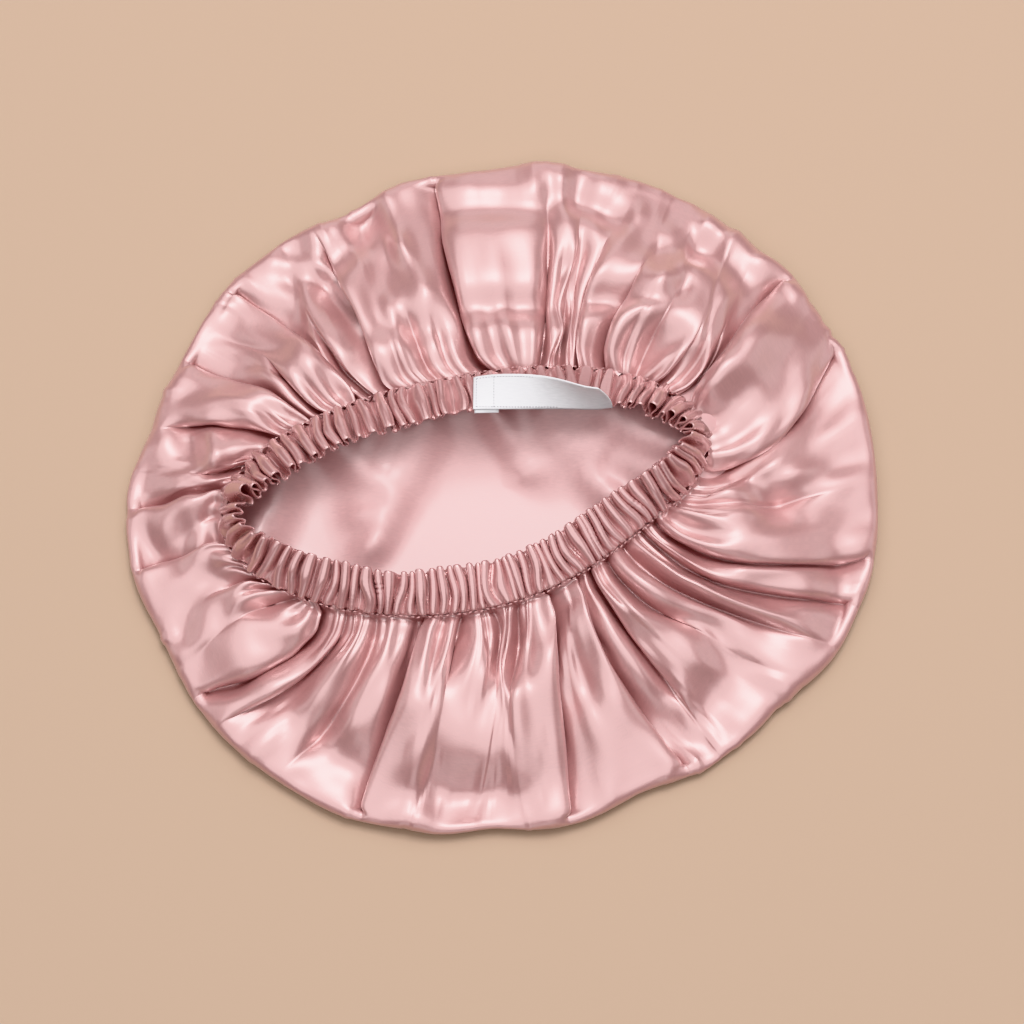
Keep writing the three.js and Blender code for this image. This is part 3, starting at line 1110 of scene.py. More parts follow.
@dataclass(frozen=True)
class CreaseShape:
    """How a crease runs from the seam and how the cloth beside it slopes into it.

    Ways are shares of the way from the seam to the roll.

    Attributes:
        deepen: How much deeper than in the table the creases are.
        spread: Share of the cloth between two creases that slopes into each, at the seam and the roll.
        spread_way: Where the first of those shares passes into the second.
        widths: Narrowest and widest slope in millimetres.
        overlap: How much steeper the side that lies over a crease is.
        start: Share of its depth that a crease has at the seam.
        start_way: Where it has all of it.
        extra: How much deeper it is on its first stretch.
        extra_way: Where that stretch passes into the rest.
        fade: Longest way over which a crease gets shallower before its end.
        fade_share: The same as a share of its reach.
        after: How far past its end it takes to vanish.
        whole: Reach from which it counts as running all the way.
        whole_after: How much further such a crease takes to vanish.
        power: Power by whose mean creases that are close together share a valley.
        lip_reach: How much further than the slope a lip reaches.
        lip_slide: How far the lip slides, as a share of the depth.
        hold_width: How wide the strip is that is held while the cloth settles, in millimetres.
    """

    deepen: float = 1.5
    spread: tuple[float, float] = (0.26, 0.15)
    spread_way: tuple[float, float] = (0.1, 0.7)
    widths: tuple[float, float] = (1.4, 12.0)
    overlap: float = 1.0
    start: float = 0.65
    start_way: float = 0.1
    extra: float = 0.35
    extra_way: tuple[float, float] = (0.15, 0.5)
    fade: float = 0.3
    fade_share: float = 0.7
    after: float = 0.15
    whole: float = 0.97
    whole_after: float = 0.2
    power: float = 4.0
    lip_reach: float = 3.0
    lip_slide: float = 1.1
    hold_width: float = 1.6

    def along(self, share: Array, reach: Array) -> tuple[Array, Array]:
        """How deep a crease is on its way.

        Args:
            share: Shares of the way to the roll.
            reach: Share of the way that each crease runs.

        Returns:
            Share of its depth as it leaves the seam, and as it ends.
        """
        leaves = self.start + (1 - self.start) * ease(share, 0.0, self.start_way)
        leaves = leaves * (1 + self.extra - self.extra * ease(share, *self.extra_way))
        before = np.minimum(self.fade, reach * self.fade_share)
        after = self.after + self.whole_after * (reach > self.whole)
        return leaves, 1 - ease(share, reach - before, reach + after)

    def width(self, share: Array, room: Array, over: Array) -> Array:
        """How wide the slope into a crease is.

        Args:
            share: Shares of the way to the roll.
            room: Cloth between it and the next crease.
            over: How far that cloth lies over the crease.

        Returns:
            Widths in millimetres.
        """
        spread = self.spread[0] + (self.spread[1] - self.spread[0]) * ease(share, *self.spread_way)
        return np.clip(spread * room * np.exp(-self.overlap * over), *self.widths)


@dataclass(frozen=True)
class Gathers:
    """Small gathers at the seam between the creases, drawn at random.

    Attributes:
        pitch: From one to the next.
        jitter: How far each stands off its place at most, in pitches.
        clear: How near to a crease none stands.
        reach: Shortest and longest share of the way to the roll that they run.
        depth: Least and greatest depth.
        lean: Furthest lean to either side.
        room: Cloth beside each at the seam, and how much more it has at the roll.
    """

    pitch: float = 4.2
    jitter: float = 0.3
    clear: float = 1.9
    reach: tuple[float, float] = (0.12, 0.4)
    depth: tuple[float, float] = (5.0, 9.5)
    lean: tuple[float, float] = (-0.5, 0.5)
    room: tuple[float, float] = (9.0, 14.0)

    def drawn(self, creases: Array, end: float, total: float, seed: int) -> tuple[Array, ...]:
        """Draw the gathers.

        Args:
            creases: Places of the creases along the seam.
            end: The last place along it that has a column.
            total: Length of the seam.
            seed: Seed of their places and sizes.

        Returns:
            Place along the seam, reach, depth and lean of each.
        """
        draw = np.random.default_rng(seed)
        count = int(total / self.pitch)
        at = (np.arange(count) + draw.uniform(-self.jitter, self.jitter, count)) / count * total
        clear = np.min(np.abs(at[:, None] - creases[None, :]), axis=1) > self.clear
        at = np.clip(at[clear], 0.0, end)
        return at, *(draw.uniform(*span, len(at)) for span in (self.reach, self.depth, self.lean))


@dataclass(frozen=True)
class Wrinkle:
    """One layer of fine wrinkles.

    Attributes:
        size: From one to the next round the outline.
        reach: From one to the next on the way out from the seam.
        height: How high they stand, less than nothing for furrows.
    """

    size: float
    reach: float
    height: float


@dataclass(frozen=True)
class WrinkleShape:
    """What the layers of fine wrinkles have in common.

    Attributes:
        layers: The layers.
        radius: Radius of the ring that they are laid out on.
        line: Width of a wrinkle, as a share of the swell that it is a zero line of.
        waves: Waves in that swell.
        fade_turns: How often they fade in and out over the ring's radius.
        fade_reach: The same on the way out from the seam, in millimetres.
        fade_waves: Waves in the swell that fades them.
        margin: Distances from the seam between which they start.
        seeds: What is added to the crown's seed for the swells and for their fading.
    """

    layers: tuple[Wrinkle, ...] = (
        Wrinkle(40.0, 240.0, 0.9), Wrinkle(28.0, 170.0, -0.6), Wrinkle(20.0, 120.0, 0.5),
    )
    radius: float = 150.0
    line: float = 0.34
    waves: int = 9
    fade_turns: float = 3.4
    fade_reach: float = 60.0
    fade_waves: int = 7
    margin: tuple[float, float] = (6.0, 22.0)
    seeds: tuple[int, int] = (20, 40)


@dataclass(frozen=True)
class Slack:
    """Random swells of the sheet.

    Attributes:
        sizes: Length of a swell, waves in it and its height, for broad and for small ones.
        radius: Radius that they are laid out on at the seam, and how much more it is at the roll.
        start: Share of the way to the roll over which they start.
    """

    sizes: tuple[tuple[float, int, float], ...] = ((48.0, 9, 1.4), (21.0, 11, 0.7))
    radius: tuple[float, float] = (130.0, 45.0)
    start: float = 0.35


@dataclass
class Crown:
    """The crown's cloth: gathered sheet, roll round the outline and flattened underside.

    Attributes:
        mouth: The seam that it is gathered to.
        roll: Radius of the roll round the outline.
        crest: How far the sheet swells up between the seam and the outline.
        shoulder: How far the sheet bellies out, so that it slopes down to the roll.
        full_reach: Way from the seam to the roll over which crest and shoulder are full.
        fullness: Least and most of the crest and the shoulder.
        bow_lean: Power that puts the bow of a crease nearer to the seam.
        swell_start: Share of a half wave that the swell between creases has behind it at the seam.
        tuck: How far below the foot of the band the sheet is sewn on.
        ruffles: How often its raw edge there goes in and out.
        ruffle: How far it goes in and out.
        panel_columns: Columns between two creases.
        column_mix: Shares of even and of crowded spacing of those columns.
        hem_rows: Rows from the foot of the band to the sheet's edge.
        sheet_rows: Rows from the seam to the roll.
        row_power: Power that puts those rows closer together near the seam.
        roll_rows: Rows round the roll.
        roll_turn: Degrees above level where the roll starts and ends.
        roll_grip: Radians below level between which the roll is held while the cloth settles.
        floor_rows: Rows from the roll to the middle of the underside.
        floor_shares: Shares of the way from the middle of the first, second and last of them.
        floor_fade: Shares of the same way between which the ridges of the underside fade out.
        clearance: How far above the floor the cloth lies.
        least_height: The lowest that a wrinkle may bring it.
        cut_radius: Radius of the flat round of cloth.
        cut_extra: How much longer the cut's radius is than the way to the last row.
        crease: How the creases are shaped.
        gathers: The small gathers between them.
        slack: The random swells.
        wrinkles: The fine wrinkles.
        drape: How the cloth is let settle.
        finish: The satin.
        seed: Seed of the gathers, swells and wrinkles.
    """

    mouth: Mouth
    drape: Drape
    roll: float = 5.6
    crest: float = 7.0
    shoulder: float = 4.0
    full_reach: float = 80.0
    fullness: tuple[float, float] = (0.4, 1.1)
    bow_lean: float = 0.75
    swell_start: float = 0.1
    tuck: float = 0.3
    ruffles: int = 120
    ruffle: float = 0.9
    panel_columns: int = 13
    column_mix: tuple[float, float] = (0.45, 0.55)
    hem_rows: int = 2
    sheet_rows: int = 27
    row_power: float = 1.25
    roll_rows: int = 8
    roll_turn: tuple[float, float] = (80.0, -90.0)
    roll_grip: tuple[float, float] = (-1.2, 1.3)
    floor_rows: int = 15
    floor_shares: tuple[float, float, float] = (0.84, 0.72, 0.03)
    floor_fade: tuple[float, float] = (0.8, 1.0)
    clearance: float = 0.3
    least_height: float = 0.2
    cut_radius: float = 270.0
    cut_extra: float = 1.02
    crease: CreaseShape = CreaseShape()
    gathers: Gathers = Gathers()
    slack: Slack = Slack()
    wrinkles: WrinkleShape = WrinkleShape()
    finish: ClothFinish = ROSE_SATIN
    seed: int = 11

    def columns(self) -> Array:
        """Angles on the outline, closer together near each crease."""
        rims = fold_column("rim")
        after = np.append(rims[1:], rims[0] + TURN)
        even = np.arange(self.panel_columns) / self.panel_columns
        crowded = (1 - np.cos(np.pi * even)) / 2
        share = self.column_mix[0] * even + self.column_mix[1] * crowded
        return (rims[:, None] + (after - rims)[:, None] * share).ravel()

    def shares(self) -> Array:
        """Shares of the way from the seam to the roll, closer together near the seam."""
        return np.linspace(0.0, 1.0, self.sheet_rows) ** self.row_power

    def panel_values(self, name: str, rim: Array, eased: bool = True) -> Array:
        """A column of the fold table spread over the panels between creases.

        Args:
            name: The column.
            rim: Angles on the outline.
            eased: Whether to ease from crease to crease, or run straight.

        Returns:
            The value at each angle.
        """
        rims, values = fold_column("rim"), fold_column(name)
        row = np.searchsorted(rims, rim, side="right") - 1
        after = (row + 1) % len(rims)
        wrap = np.where(after == 0, TURN, 0.0)
        share = (rim - rims[row]) / (rims[after] + wrap - rims[row])
        ends = values[after] + (wrap if name == "seam" else 0.0)
        share = ease(share, 0.0, 1.0) if eased else share
        return values[row] + (ends - values[row]) * share

    def sheet_height(self, share: Array, reach: Array) -> Array:
        """Height of the smooth sheet: a fall from the seam to the roll, with a crest and a belly on it.

        Args:
            share: Shares of the way to the roll.
            reach: How far it is from the seam to the roll, one for each column.

        Returns:
            Heights, rows by columns. Where the way is short the crest and the belly are low.
        """
        fall = 2 * self.roll + (self.mouth.seam_height - 2 * self.roll) * (1 - share) ** 2
        belly = 4 * self.shoulder * share * (1 - share)
        crest = self.crest * np.sin(np.pi * np.sqrt(share)) ** 2
        full = np.clip(reach / self.full_reach, *self.fullness)
        return fall[:, None] + (belly + crest)[:, None] * full[None, :]

    def creases(self, length: Array, total: Array, share: Array) -> tuple[Array, Array, Array]:
        """How the creases press the sheet in and slide its lips over.

        A crease is a cusp, depth times exp(-distance / width), whose width is a share of the cloth
        up to the next crease and which is steeper on the side that lies over it. Creases close
        together share a valley by their fourth-power mean. The lip on the steep side slides over
        the crease by a bump that starts and ends at nothing.

        Args:
            length: Distance round each row at each column.
            total: Length of each row.
            share: Share of the way to the roll, one for each row.

        Returns:
            The depth and the sideways slide in millimetres, and how near a main crease a point is.
        """
        shape, gathers = self.crease, self.gathers
        at_crease = length[:, :: self.panel_columns]
        main = at_crease.shape[1]
        drawn = gathers.drawn(at_crease[0], length[0, -1], total[0], self.seed)
        minor_row = np.array([np.interp(drawn[0], length[0], row) for row in length])
        where = np.concatenate([at_crease, minor_row], axis=1)
        reach = np.concatenate([fold_column("reach"), drawn[1]])
        depth = np.concatenate([fold_column("depth") * shape.deepen, drawn[2]])
        lean = np.concatenate([fold_column("lean"), drawn[3]])
        s = share[:, None, None]
        half = total[:, None, None] / 2
        away = length[:, :, None] - where[:, None, :]
        away = np.mod(away + half, 2 * half) - half
        leaves, ends = shape.along(s, reach)
        over = np.where(away > 0, lean, -lean)
        after = np.diff(np.concatenate([at_crease, at_crease[:, :1] + total[:, None]], axis=1), axis=1)
        room = np.where(away[..., :main] > 0, after[:, None], np.roll(after, 1, axis=1)[:, None])
        small = np.broadcast_to(gathers.room[0] + gathers.room[1] * s, away[..., main:].shape)
        width = shape.width(s, np.concatenate([room, small], axis=-1), over)
        strength = depth * leaves * ends
        cusp = np.exp(-np.abs(away) / width)
        pressed = np.sum((strength * cusp) ** shape.power, axis=-1) ** (1 / shape.power)
        lip = np.where(over > 0, (1 - cusp) * np.exp(-np.abs(away) / (shape.lip_reach * width)), 0.0)
        slide = np.sum(-lean * strength * shape.lip_slide * lip, axis=-1)
        near = np.max((np.exp(-((away / shape.hold_width) ** 2)) * ends)[..., :main], axis=-1)
        return pressed, slide, near

    def grid(self) -> tuple[Array, Array]:
        """The gathered sheet and the roll as one grid, from the seam to the underside.

        Returns:
            Points, rows by columns by 3, and how firmly each is held while the cloth settles.
        """
        rim, share = self.columns(), self.shares()
        outward = np.stack([np.cos(np.radians(rim)), np.sin(np.radians(rim))], axis=-1)
        inside = closed_table(OUTLINE[:, 0], OUTLINE[:, 1], rim) - self.roll
        centre = OUTLINE_CENTRE + outward * inside[:, None]
        seam = self.mouth.point(self.panel_values("seam", rim, eased=False))
        run = centre - seam
        side = np.stack([-run[:, 1], run[:, 0]], axis=-1) / np.linalg.norm(run, axis=-1)[:, None]
        bow = self.panel_values("bow", rim)[None, :] * np.sin(np.pi * share**self.bow_lean)[:, None]
        plan = seam + run * share[:, None, None] + side * bow[..., None]
        steps = np.linalg.norm(np.roll(plan, -1, axis=1) - plan, axis=-1)
        length = np.concatenate([np.zeros((len(share), 1)), np.cumsum(steps, axis=1)], axis=1)
        pressed, slide, near = self.creases(length[:, :-1], length[:, -1], share)
        lift = self.swell(rim, share) + self.drift(rim, share) + lift_of(SHEET_RIDGES, plan) - pressed
        plan = plan + side * slide[..., None]
        height = self.sheet_height(share, np.linalg.norm(run, axis=-1)) + lift
        sheet = np.concatenate([plan, height[..., None]], axis=-1)

        turn = np.radians(np.linspace(*self.roll_turn, self.roll_rows + 1)[1:])
        level, up = np.cos(turn)[:, None], np.sin(turn)[:, None]
        settle = np.where(up > 0, up, 0.0) ** 2 * lift[-1][None, :]
        roll_plan = centre + outward * ((self.roll + settle) * level)[..., None]
        roll_height = self.roll + (self.roll + settle) * up
        roll = np.concatenate([roll_plan, roll_height[..., None]], axis=-1)

        rest = self.drape.crease_hold * near
        rest[0] = 1.0
        grip = ease(-turn, *self.roll_grip)[:, None] * np.ones_like(rim)
        grip[-1] = 1.0
        return np.concatenate([sheet, roll]), np.concatenate([rest, grip])

    def underside(self, ring: Array) -> Array:
        """Rows from the foot of the roll to the middle: flat cloth with soft ridges.

        Args:
            ring: The last row of the roll, columns by 3.

        Returns:
            Points, rows by columns by 3.
        """
        first, second, last = self.floor_shares
        inward = np.append(first, np.linspace(second, last, self.floor_rows - 1))[:, None]
        plan = ring[None, :, :2] * inward[..., None]
        height = lift_of(FLOOR_RIDGES, plan) * (1 - ease(inward, *self.floor_fade))
        return np.concatenate([plan, (self.clearance + height)[..., None]], axis=-1)

    def swell(self, rim: Array, share: Array) -> Array:
        """Lift of the cloth between creases: a squared sine across the panel, a sine along it.

        Args:
            rim: Angles on the outline.
            share: Shares of the way to the roll.

        Returns:
            Lift in millimetres, rows by columns.
        """
        rims = fold_column("rim")
        row = np.searchsorted(rims, rim, side="right") - 1
        ends = np.append(rims[1:], rims[0] + TURN)
        across = np.sin(np.pi * (rim - rims[row]) / (ends[row] - rims[row])) ** 2
        along = np.sin(np.pi * np.minimum(share + self.swell_start, 1.0))
        return fold_column("swell")[row][None, :] * across[None, :] * along[:, None]

    def drift(self, rim: Array, share: Array) -> Array:
        """Slack in the cloth: random swells, long from seam to outline, that die out at the seam.

        Args:
            rim: Angles on the outline.
            share: Shares of the way to the roll.

        Returns:
            Lift in millimetres, rows by columns.
        """
        reach = (self.slack.radius[0] + self.slack.radius[1] * share)[:, None]
        x, y = reach * np.cos(np.radians(rim)), reach * np.sin(np.radians(rim))
        lift = sum(
            height * ripple(x / size, y / size, waves, self.seed + 1 + layer)
            for layer, (size, waves, height) in enumerate(self.slack.sizes)
        )
        return lift * ease(share, 0.0, self.slack.start)[:, None]

    def wrinkle(self, points: Array) -> Array:
        """Fine wrinkles: thin ridges and furrows along the zero lines of stretched random swells.

        A swell r gives a line of exp(-(r / line)^2), which is faded in and out by a slower swell and
        moved along the cloth's own normal. The underside has none.

        Args:
            points: The fine grid, rows by columns by 3.

        Returns:
            The wrinkled grid.
        """
        shape, rows = self.wrinkles, len(points)
        along = np.roll(points, -1, axis=1) - np.roll(points, 1, axis=1)
        normal = np.cross(np.gradient(points, axis=0), along)
        normal = normal / np.maximum(np.linalg.norm(normal, axis=-1, keepdims=True), TINY)
        away = np.append(0.0, np.cumsum(row_steps(points)))[:, None]
        turn = np.radians(np.repeat(self.columns(), 2))[None, :] + np.zeros((rows, 1))
        x, y = np.cos(turn), np.sin(turn)
        total = np.zeros(points.shape[:2])
        for layer, kind in enumerate(shape.layers):
            turns = shape.radius / kind.size
            line_seed, fade_seed = (self.seed + seed + layer for seed in shape.seeds)
            swell = ripple(x * turns + away / kind.reach, y * turns, shape.waves, line_seed)
            slow = ripple(
                x * shape.fade_turns, y * shape.fade_turns + away / shape.fade_reach,
                shape.fade_waves, fade_seed,
            )
            total = total + kind.height * np.exp(-((swell / shape.line) ** 2)) * ease(slow, 0.0, 1.0)
        above = np.arange(rows) < 2 * (self.hem_rows + self.sheet_rows + self.roll_rows)
        edge = ease(away, *shape.margin) * above[:, None]
        return points + normal * (total * edge)[..., None]

    def hem(self, points: Array) -> Array:
        """Rows that close the sheet's edge up to the foot of the band, at even steps.

        The first is the raw edge, which is ruffled in and out by a cosine.

        Args:
            points: The sheet, whose first row is its edge.

        Returns:
            Points, rows by columns by 3.
        """
        angle = self.panel_values("seam", self.columns(), eased=False)
        wave = np.cos(2 * np.pi * self.ruffles * np.arange(len(angle)) / len(angle))
        foot = self.mouth.band_axes(angle)[0] - np.array([0.0, 0.0, self.tuck])
        foot[:, :2] += self.mouth.outward(angle) * (self.ruffle * wave)[:, None]
        share = (np.arange(self.hem_rows) / self.hem_rows)[:, None, None]
        return foot + (points[0] - foot) * share

    def build(self) -> list[bpy.types.Object]:
        """Build, settle and dress the crown.

        Returns:
            The crown's one piece.
        """
        points, hold = self.grid()
        points = self.drape.settle(points, hold, self.sheet_rows)
        points[..., 2] = np.maximum(points[..., 2], self.clearance)
        points = np.concatenate([self.hem(points), points, self.underside(points[-1])])
        points = self.wrinkle(refine(points))
        points[..., 2] = np.maximum(points[..., 2], self.least_height)
        rim = np.radians(np.repeat(self.columns(), 2))
        away = np.append(0.0, np.cumsum(row_steps(points)))
        radius = self.cut_radius * (1 - away / (away[-1] * self.cut_extra))
        cut = radius[:, None, None] * np.stack([np.cos(rim), np.sin(rim)], axis=-1)[None]
        piece = GridPiece("crown_satin", points, cut, pole=True).build()
        piece.data.materials.append(self.finish.material())
        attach(piece, BODY)
        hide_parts("crown")
        return [piece]


BAND_PLEATS: Array = np.array(
    [
        (0, 7.2, 0.64), (25, 6.8, 0.62), (45, 6.0, 0.54), (90, 5.8, 0.52), (115, 6.2, 0.56),
        (140, 7.2, 0.62), (180, 7.8, 0.66), (215, 6.8, 0.62), (240, 5.2, 0.58), (270, 4.4, 0.56),
        (310, 4.6, 0.58), (338, 5.8, 0.62),
    ]
)  # angle round the mouth, width of a pleat, how far it swings out as a share of its width


@dataclass
class ElasticBand:
    """The ruffled casing round the mouth: a thin flat tube that meanders in and out.

    Attributes:
        mouth: The seam that it stands on.
        width: From the seam to the mouth edge.
        half: Half the thickness of the tube.
        flare: How much of the swing is left at the seam.
        loop: How far a pleat's loop is wider than its neck.
        jitter: How far a pleat's edge may stand off its place, in pleats.
        vary: Least and most of the swing that a pleat has.
        lean: Furthest lean of a pleat to either side.
        tip: How far its loop tips over with the lean, as a share of the swing.
        wander: How far the pleats wander sideways across the band.
        wander_turns: How often they do so round the mouth and across the band.
        wander_waves: Waves in that wandering.
        open_share: Share of the way across the band over which the swing opens out.
        edge_wave: How far the mouth edge waves in and out.
        edge_turns: How often it does so round the mouth.
        edge_waves: Waves in it.
        edge_follow: How far the mouth edge follows the swing.
        edge_start: Share of the way across the band from which it does.
        section_power: Power that flattens the tube's section.
        lift: How far the whole band stands off its seat.
        tallest: How far the pleats may stand out.
        pressed: How far they may stand out under the label.
        label_from: Angles between which the label starts to press on them.
        label_to: Angles between which it stops.
        fullness: Cloth in the band for each length of the seam.
        columns: Steps round the mouth.
        section_points: Points round the tube.
        finish: The satin.
        seed: Seed of the pleats' differences.
    """

    mouth: Mouth
    width: float = 20.0
    half: float = 0.9
    flare: float = 0.55
    loop: float = 0.36
    jitter: float = 0.22
    vary: tuple[float, float] = (0.45, 1.2)
    lean: float = 1.3
    tip: float = 0.3
    wander: float = 1.2
    wander_turns: tuple[float, float] = (26.0, 0.8)
    wander_waves: int = 8
    open_share: float = 0.6
    edge_wave: float = 0.9
    edge_turns: float = 9.0
    edge_waves: int = 6
    edge_follow: float = 0.35
    edge_start: float = 0.7
    section_power: float = 0.6
    lift: float = 0.6
    tallest: float = 9.0
    pressed: float = 2.4
    label_from: tuple[float, float] = (36.0, 46.0)
    label_to: tuple[float, float] = (85.0, 89.0)
    fullness: float = 3.0
    columns: int = 2200
    section_points: int = 30
    finish: ClothFinish = BAND_SATIN
    seed: int = 5

    def pleats(self, angle: Array, length: Array, across: Array) -> tuple[Array, Array, Array, Array]:
        """How the tube meanders.

        Through a pleat of width w the tube swings out by -a cos(p) and along by b sin(2p), where p
        goes from 0 to a full turn, which is close to the curve of a bent strip, whose loops are
        wider than their necks. The pleats differ in width and swing, and wander across the band.

        Args:
            angle: Angles round the mouth, one for each column.
            length: Distance along the seam, one for each column.
            across: Share of the way across the band, one for each section point.

        Returns:
            Swing out and swing along, and the two parts of the direction out of the tube's face,
            along and out, each section points by columns.
        """
        draw = np.random.default_rng(self.seed)
        step = length[1]
        total = step * len(length)
        wide = closed_table(BAND_PLEATS[:, 0], BAND_PLEATS[:, 1], angle)
        phase = np.concatenate([[0.0], np.cumsum(step / wide)])
        count = int(round(phase[-1]))
        phase = phase * count / phase[-1]
        marks = np.arange(count) + draw.uniform(-self.jitter, self.jitter, count)
        edges = np.interp(marks, phase, np.append(length, total))
        edges = np.append(edges, edges[0] + total)
        vary = draw.uniform(*self.vary, count)
        lean = draw.uniform(-self.lean, self.lean, count)
        around, aside = self.wander_turns
        wander = ripple(
            length[None, :] / total * around, across[:, None] * aside, self.wander_waves, self.seed + 1
        )
        place = edges[0] + np.mod(length[None, :] + wander * self.wander - edges[0], total)
        row = np.clip(np.searchsorted(edges, place, side="right") - 1, 0, count - 1)
        pitch = edges[row + 1] - edges[row]
        turn = 2 * np.pi * (place - edges[row]) / pitch
        share = closed_table(BAND_PLEATS[:, 0], BAND_PLEATS[:, 2], angle)[None, :] * vary[row]
        share = share * (self.flare + (1 - self.flare) * ease(across, 0.0, self.open_share))[:, None]
        swing, loop = share * pitch, self.loop * share**2 * pitch
        tip = self.tip * lean[row] * swing
        out = -swing * np.cos(turn)
        along = loop * np.sin(2 * turn) + tip * (1 - np.cos(turn)) / 2
        forward = pitch / (2 * np.pi) + 2 * loop * np.cos(2 * turn) + tip * np.sin(turn) / 2
        rise = swing * np.sin(turn)
        size = np.hypot(forward, rise)
        return out, along, -rise / size, forward / size

    def grid(self) -> tuple[Array, Array]:
        """The casing as a closed tube: a flat rounded section carried round the seam.

        Returns:
            Points, section points by columns by 3, and their places on the flat cloth.
        """
        angle, length = self.mouth.around(self.columns)
        edge, across, face = self.mouth.band_axes(angle)
        forward = np.cross(across, face)
        turn = np.arange(self.section_points) / self.section_points * 2 * np.pi
        share = 0.5 * (1 - np.cos(turn))
        half = np.sign(np.sin(turn)) * np.abs(np.sin(turn)) ** self.section_power * self.half
        out, along, way_along, way_out = self.pleats(angle, length, share)
        still = np.zeros_like(length)
        wave = ripple(length / length[-1] * self.edge_turns, still, self.edge_waves, self.seed + 2)
        wide = (self.width + self.edge_wave * wave) * share[:, None]
        wide = wide + self.edge_follow * out * ease(share, self.edge_start, 1.0)[:, None]
        stand = out + way_out * half[:, None] + self.lift
        under = ease(angle, *self.label_from) * (1 - ease(angle, *self.label_to))
        stand = np.minimum(stand, self.tallest - (self.tallest - self.pressed) * under[None, :])
        slide = along + way_along * half[:, None]
        points = edge[None] + across[None] * wide[..., None]
        points = points + face[None] * stand[..., None] + forward[None] * slide[..., None]
        places = length[None, :] * self.fullness, turn[:, None] / np.pi * self.width
        return points, np.stack(np.broadcast_arrays(*places), axis=-1)

    def build(self) -> list[bpy.types.Object]:
        """Build and dress the band.

        Returns:
            The band's one piece.
        """
        points, cut = self.grid()
        tube = GridPiece("band_ruffle", points, cut, round_rows=True, facing=Facing.REVERSED)
        piece = tube.build()
        piece.data.materials.append(self.finish.material())
        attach(piece, BODY)
        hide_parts("elastic_band")
        return [piece]


@dataclass
class Stitches:
    """A row of thread stitches: each a capsule, laid along a line.

    Attributes:
        name: The piece's name.
        slot: Not used.
        finish: The thread.
        length: Length of a stitch.
        radius: Radius of the thread.
        sides: Points round a stitch.
        rings: Rings along it.
        blunt: Share of the thread's section that its blunt ends have.
    """

    name: str
    slot: str
    finish: ClothFinish
    length: float
    radius: float
    sides: int = 6
    rings: int = 5
    blunt: float = 0.02

    def build(self, middles: Array, ways: Array, ups: Array) -> bpy.types.Object:
        """Build every stitch at once: rings of an ellipse of revolution about each stitch's way.

        Args:
            middles: Middles of the stitches, count by 3.
            ways: Unit directions along them.
            ups: Directions out of the cloth.

        Returns:
            The stitches' object.
        """
        side = unit(np.cross(ways, ups))
        over = np.cross(side, ways)
        reach = np.linspace(-1.0, 1.0, self.rings)
        thick = self.radius * np.sqrt(np.maximum(1 - reach**2, self.blunt))
        turn = np.arange(self.sides) / self.sides * 2 * np.pi
        along = ways[:, None, None] * (reach * self.length / 2)[None, :, None, None]
        level = side[:, None, None] * (thick[:, None] * np.cos(turn))[None, ..., None]
        raised = over[:, None, None] * (thick[:, None] * np.sin(turn))[None, ..., None]
        points = middles[:, None, None] + along + level + raised
        count = len(middles)
        index = np.arange(count * self.rings * self.sides).reshape(count, self.rings, self.sides)
        after = np.roll(index, -1, axis=2)
        corners = [index[:, :-1], after[:, :-1], after[:, 1:], index[:, 1:]]
        quads = np.stack(corners, axis=-1).reshape(-1, 4)
        caps = np.concatenate([index[:, 0, ::-1], index[:, -1]])
        mesh = bpy.data.meshes.new(self.name)
        mesh.from_pydata((points * MM).reshape(-1, 3).tolist(), [], quads.tolist() + caps.tolist())
        mesh.polygons.foreach_set("use_smooth", np.ones(len(mesh.polygons), dtype=bool))
        layer = mesh.uv_layers.new(name=CUT_MAP)
        corner = np.empty(len(mesh.loops), dtype=np.int32)
        mesh.loops.foreach_get("vertex_index", corner)
        layer.data.foreach_set("uv", (points.reshape(-1, 3)[corner, :2] * MM).ravel())
        piece = linked(self.name, mesh)
        piece.data.materials.append(self.finish.material())
        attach(piece, BODY)
        return piece


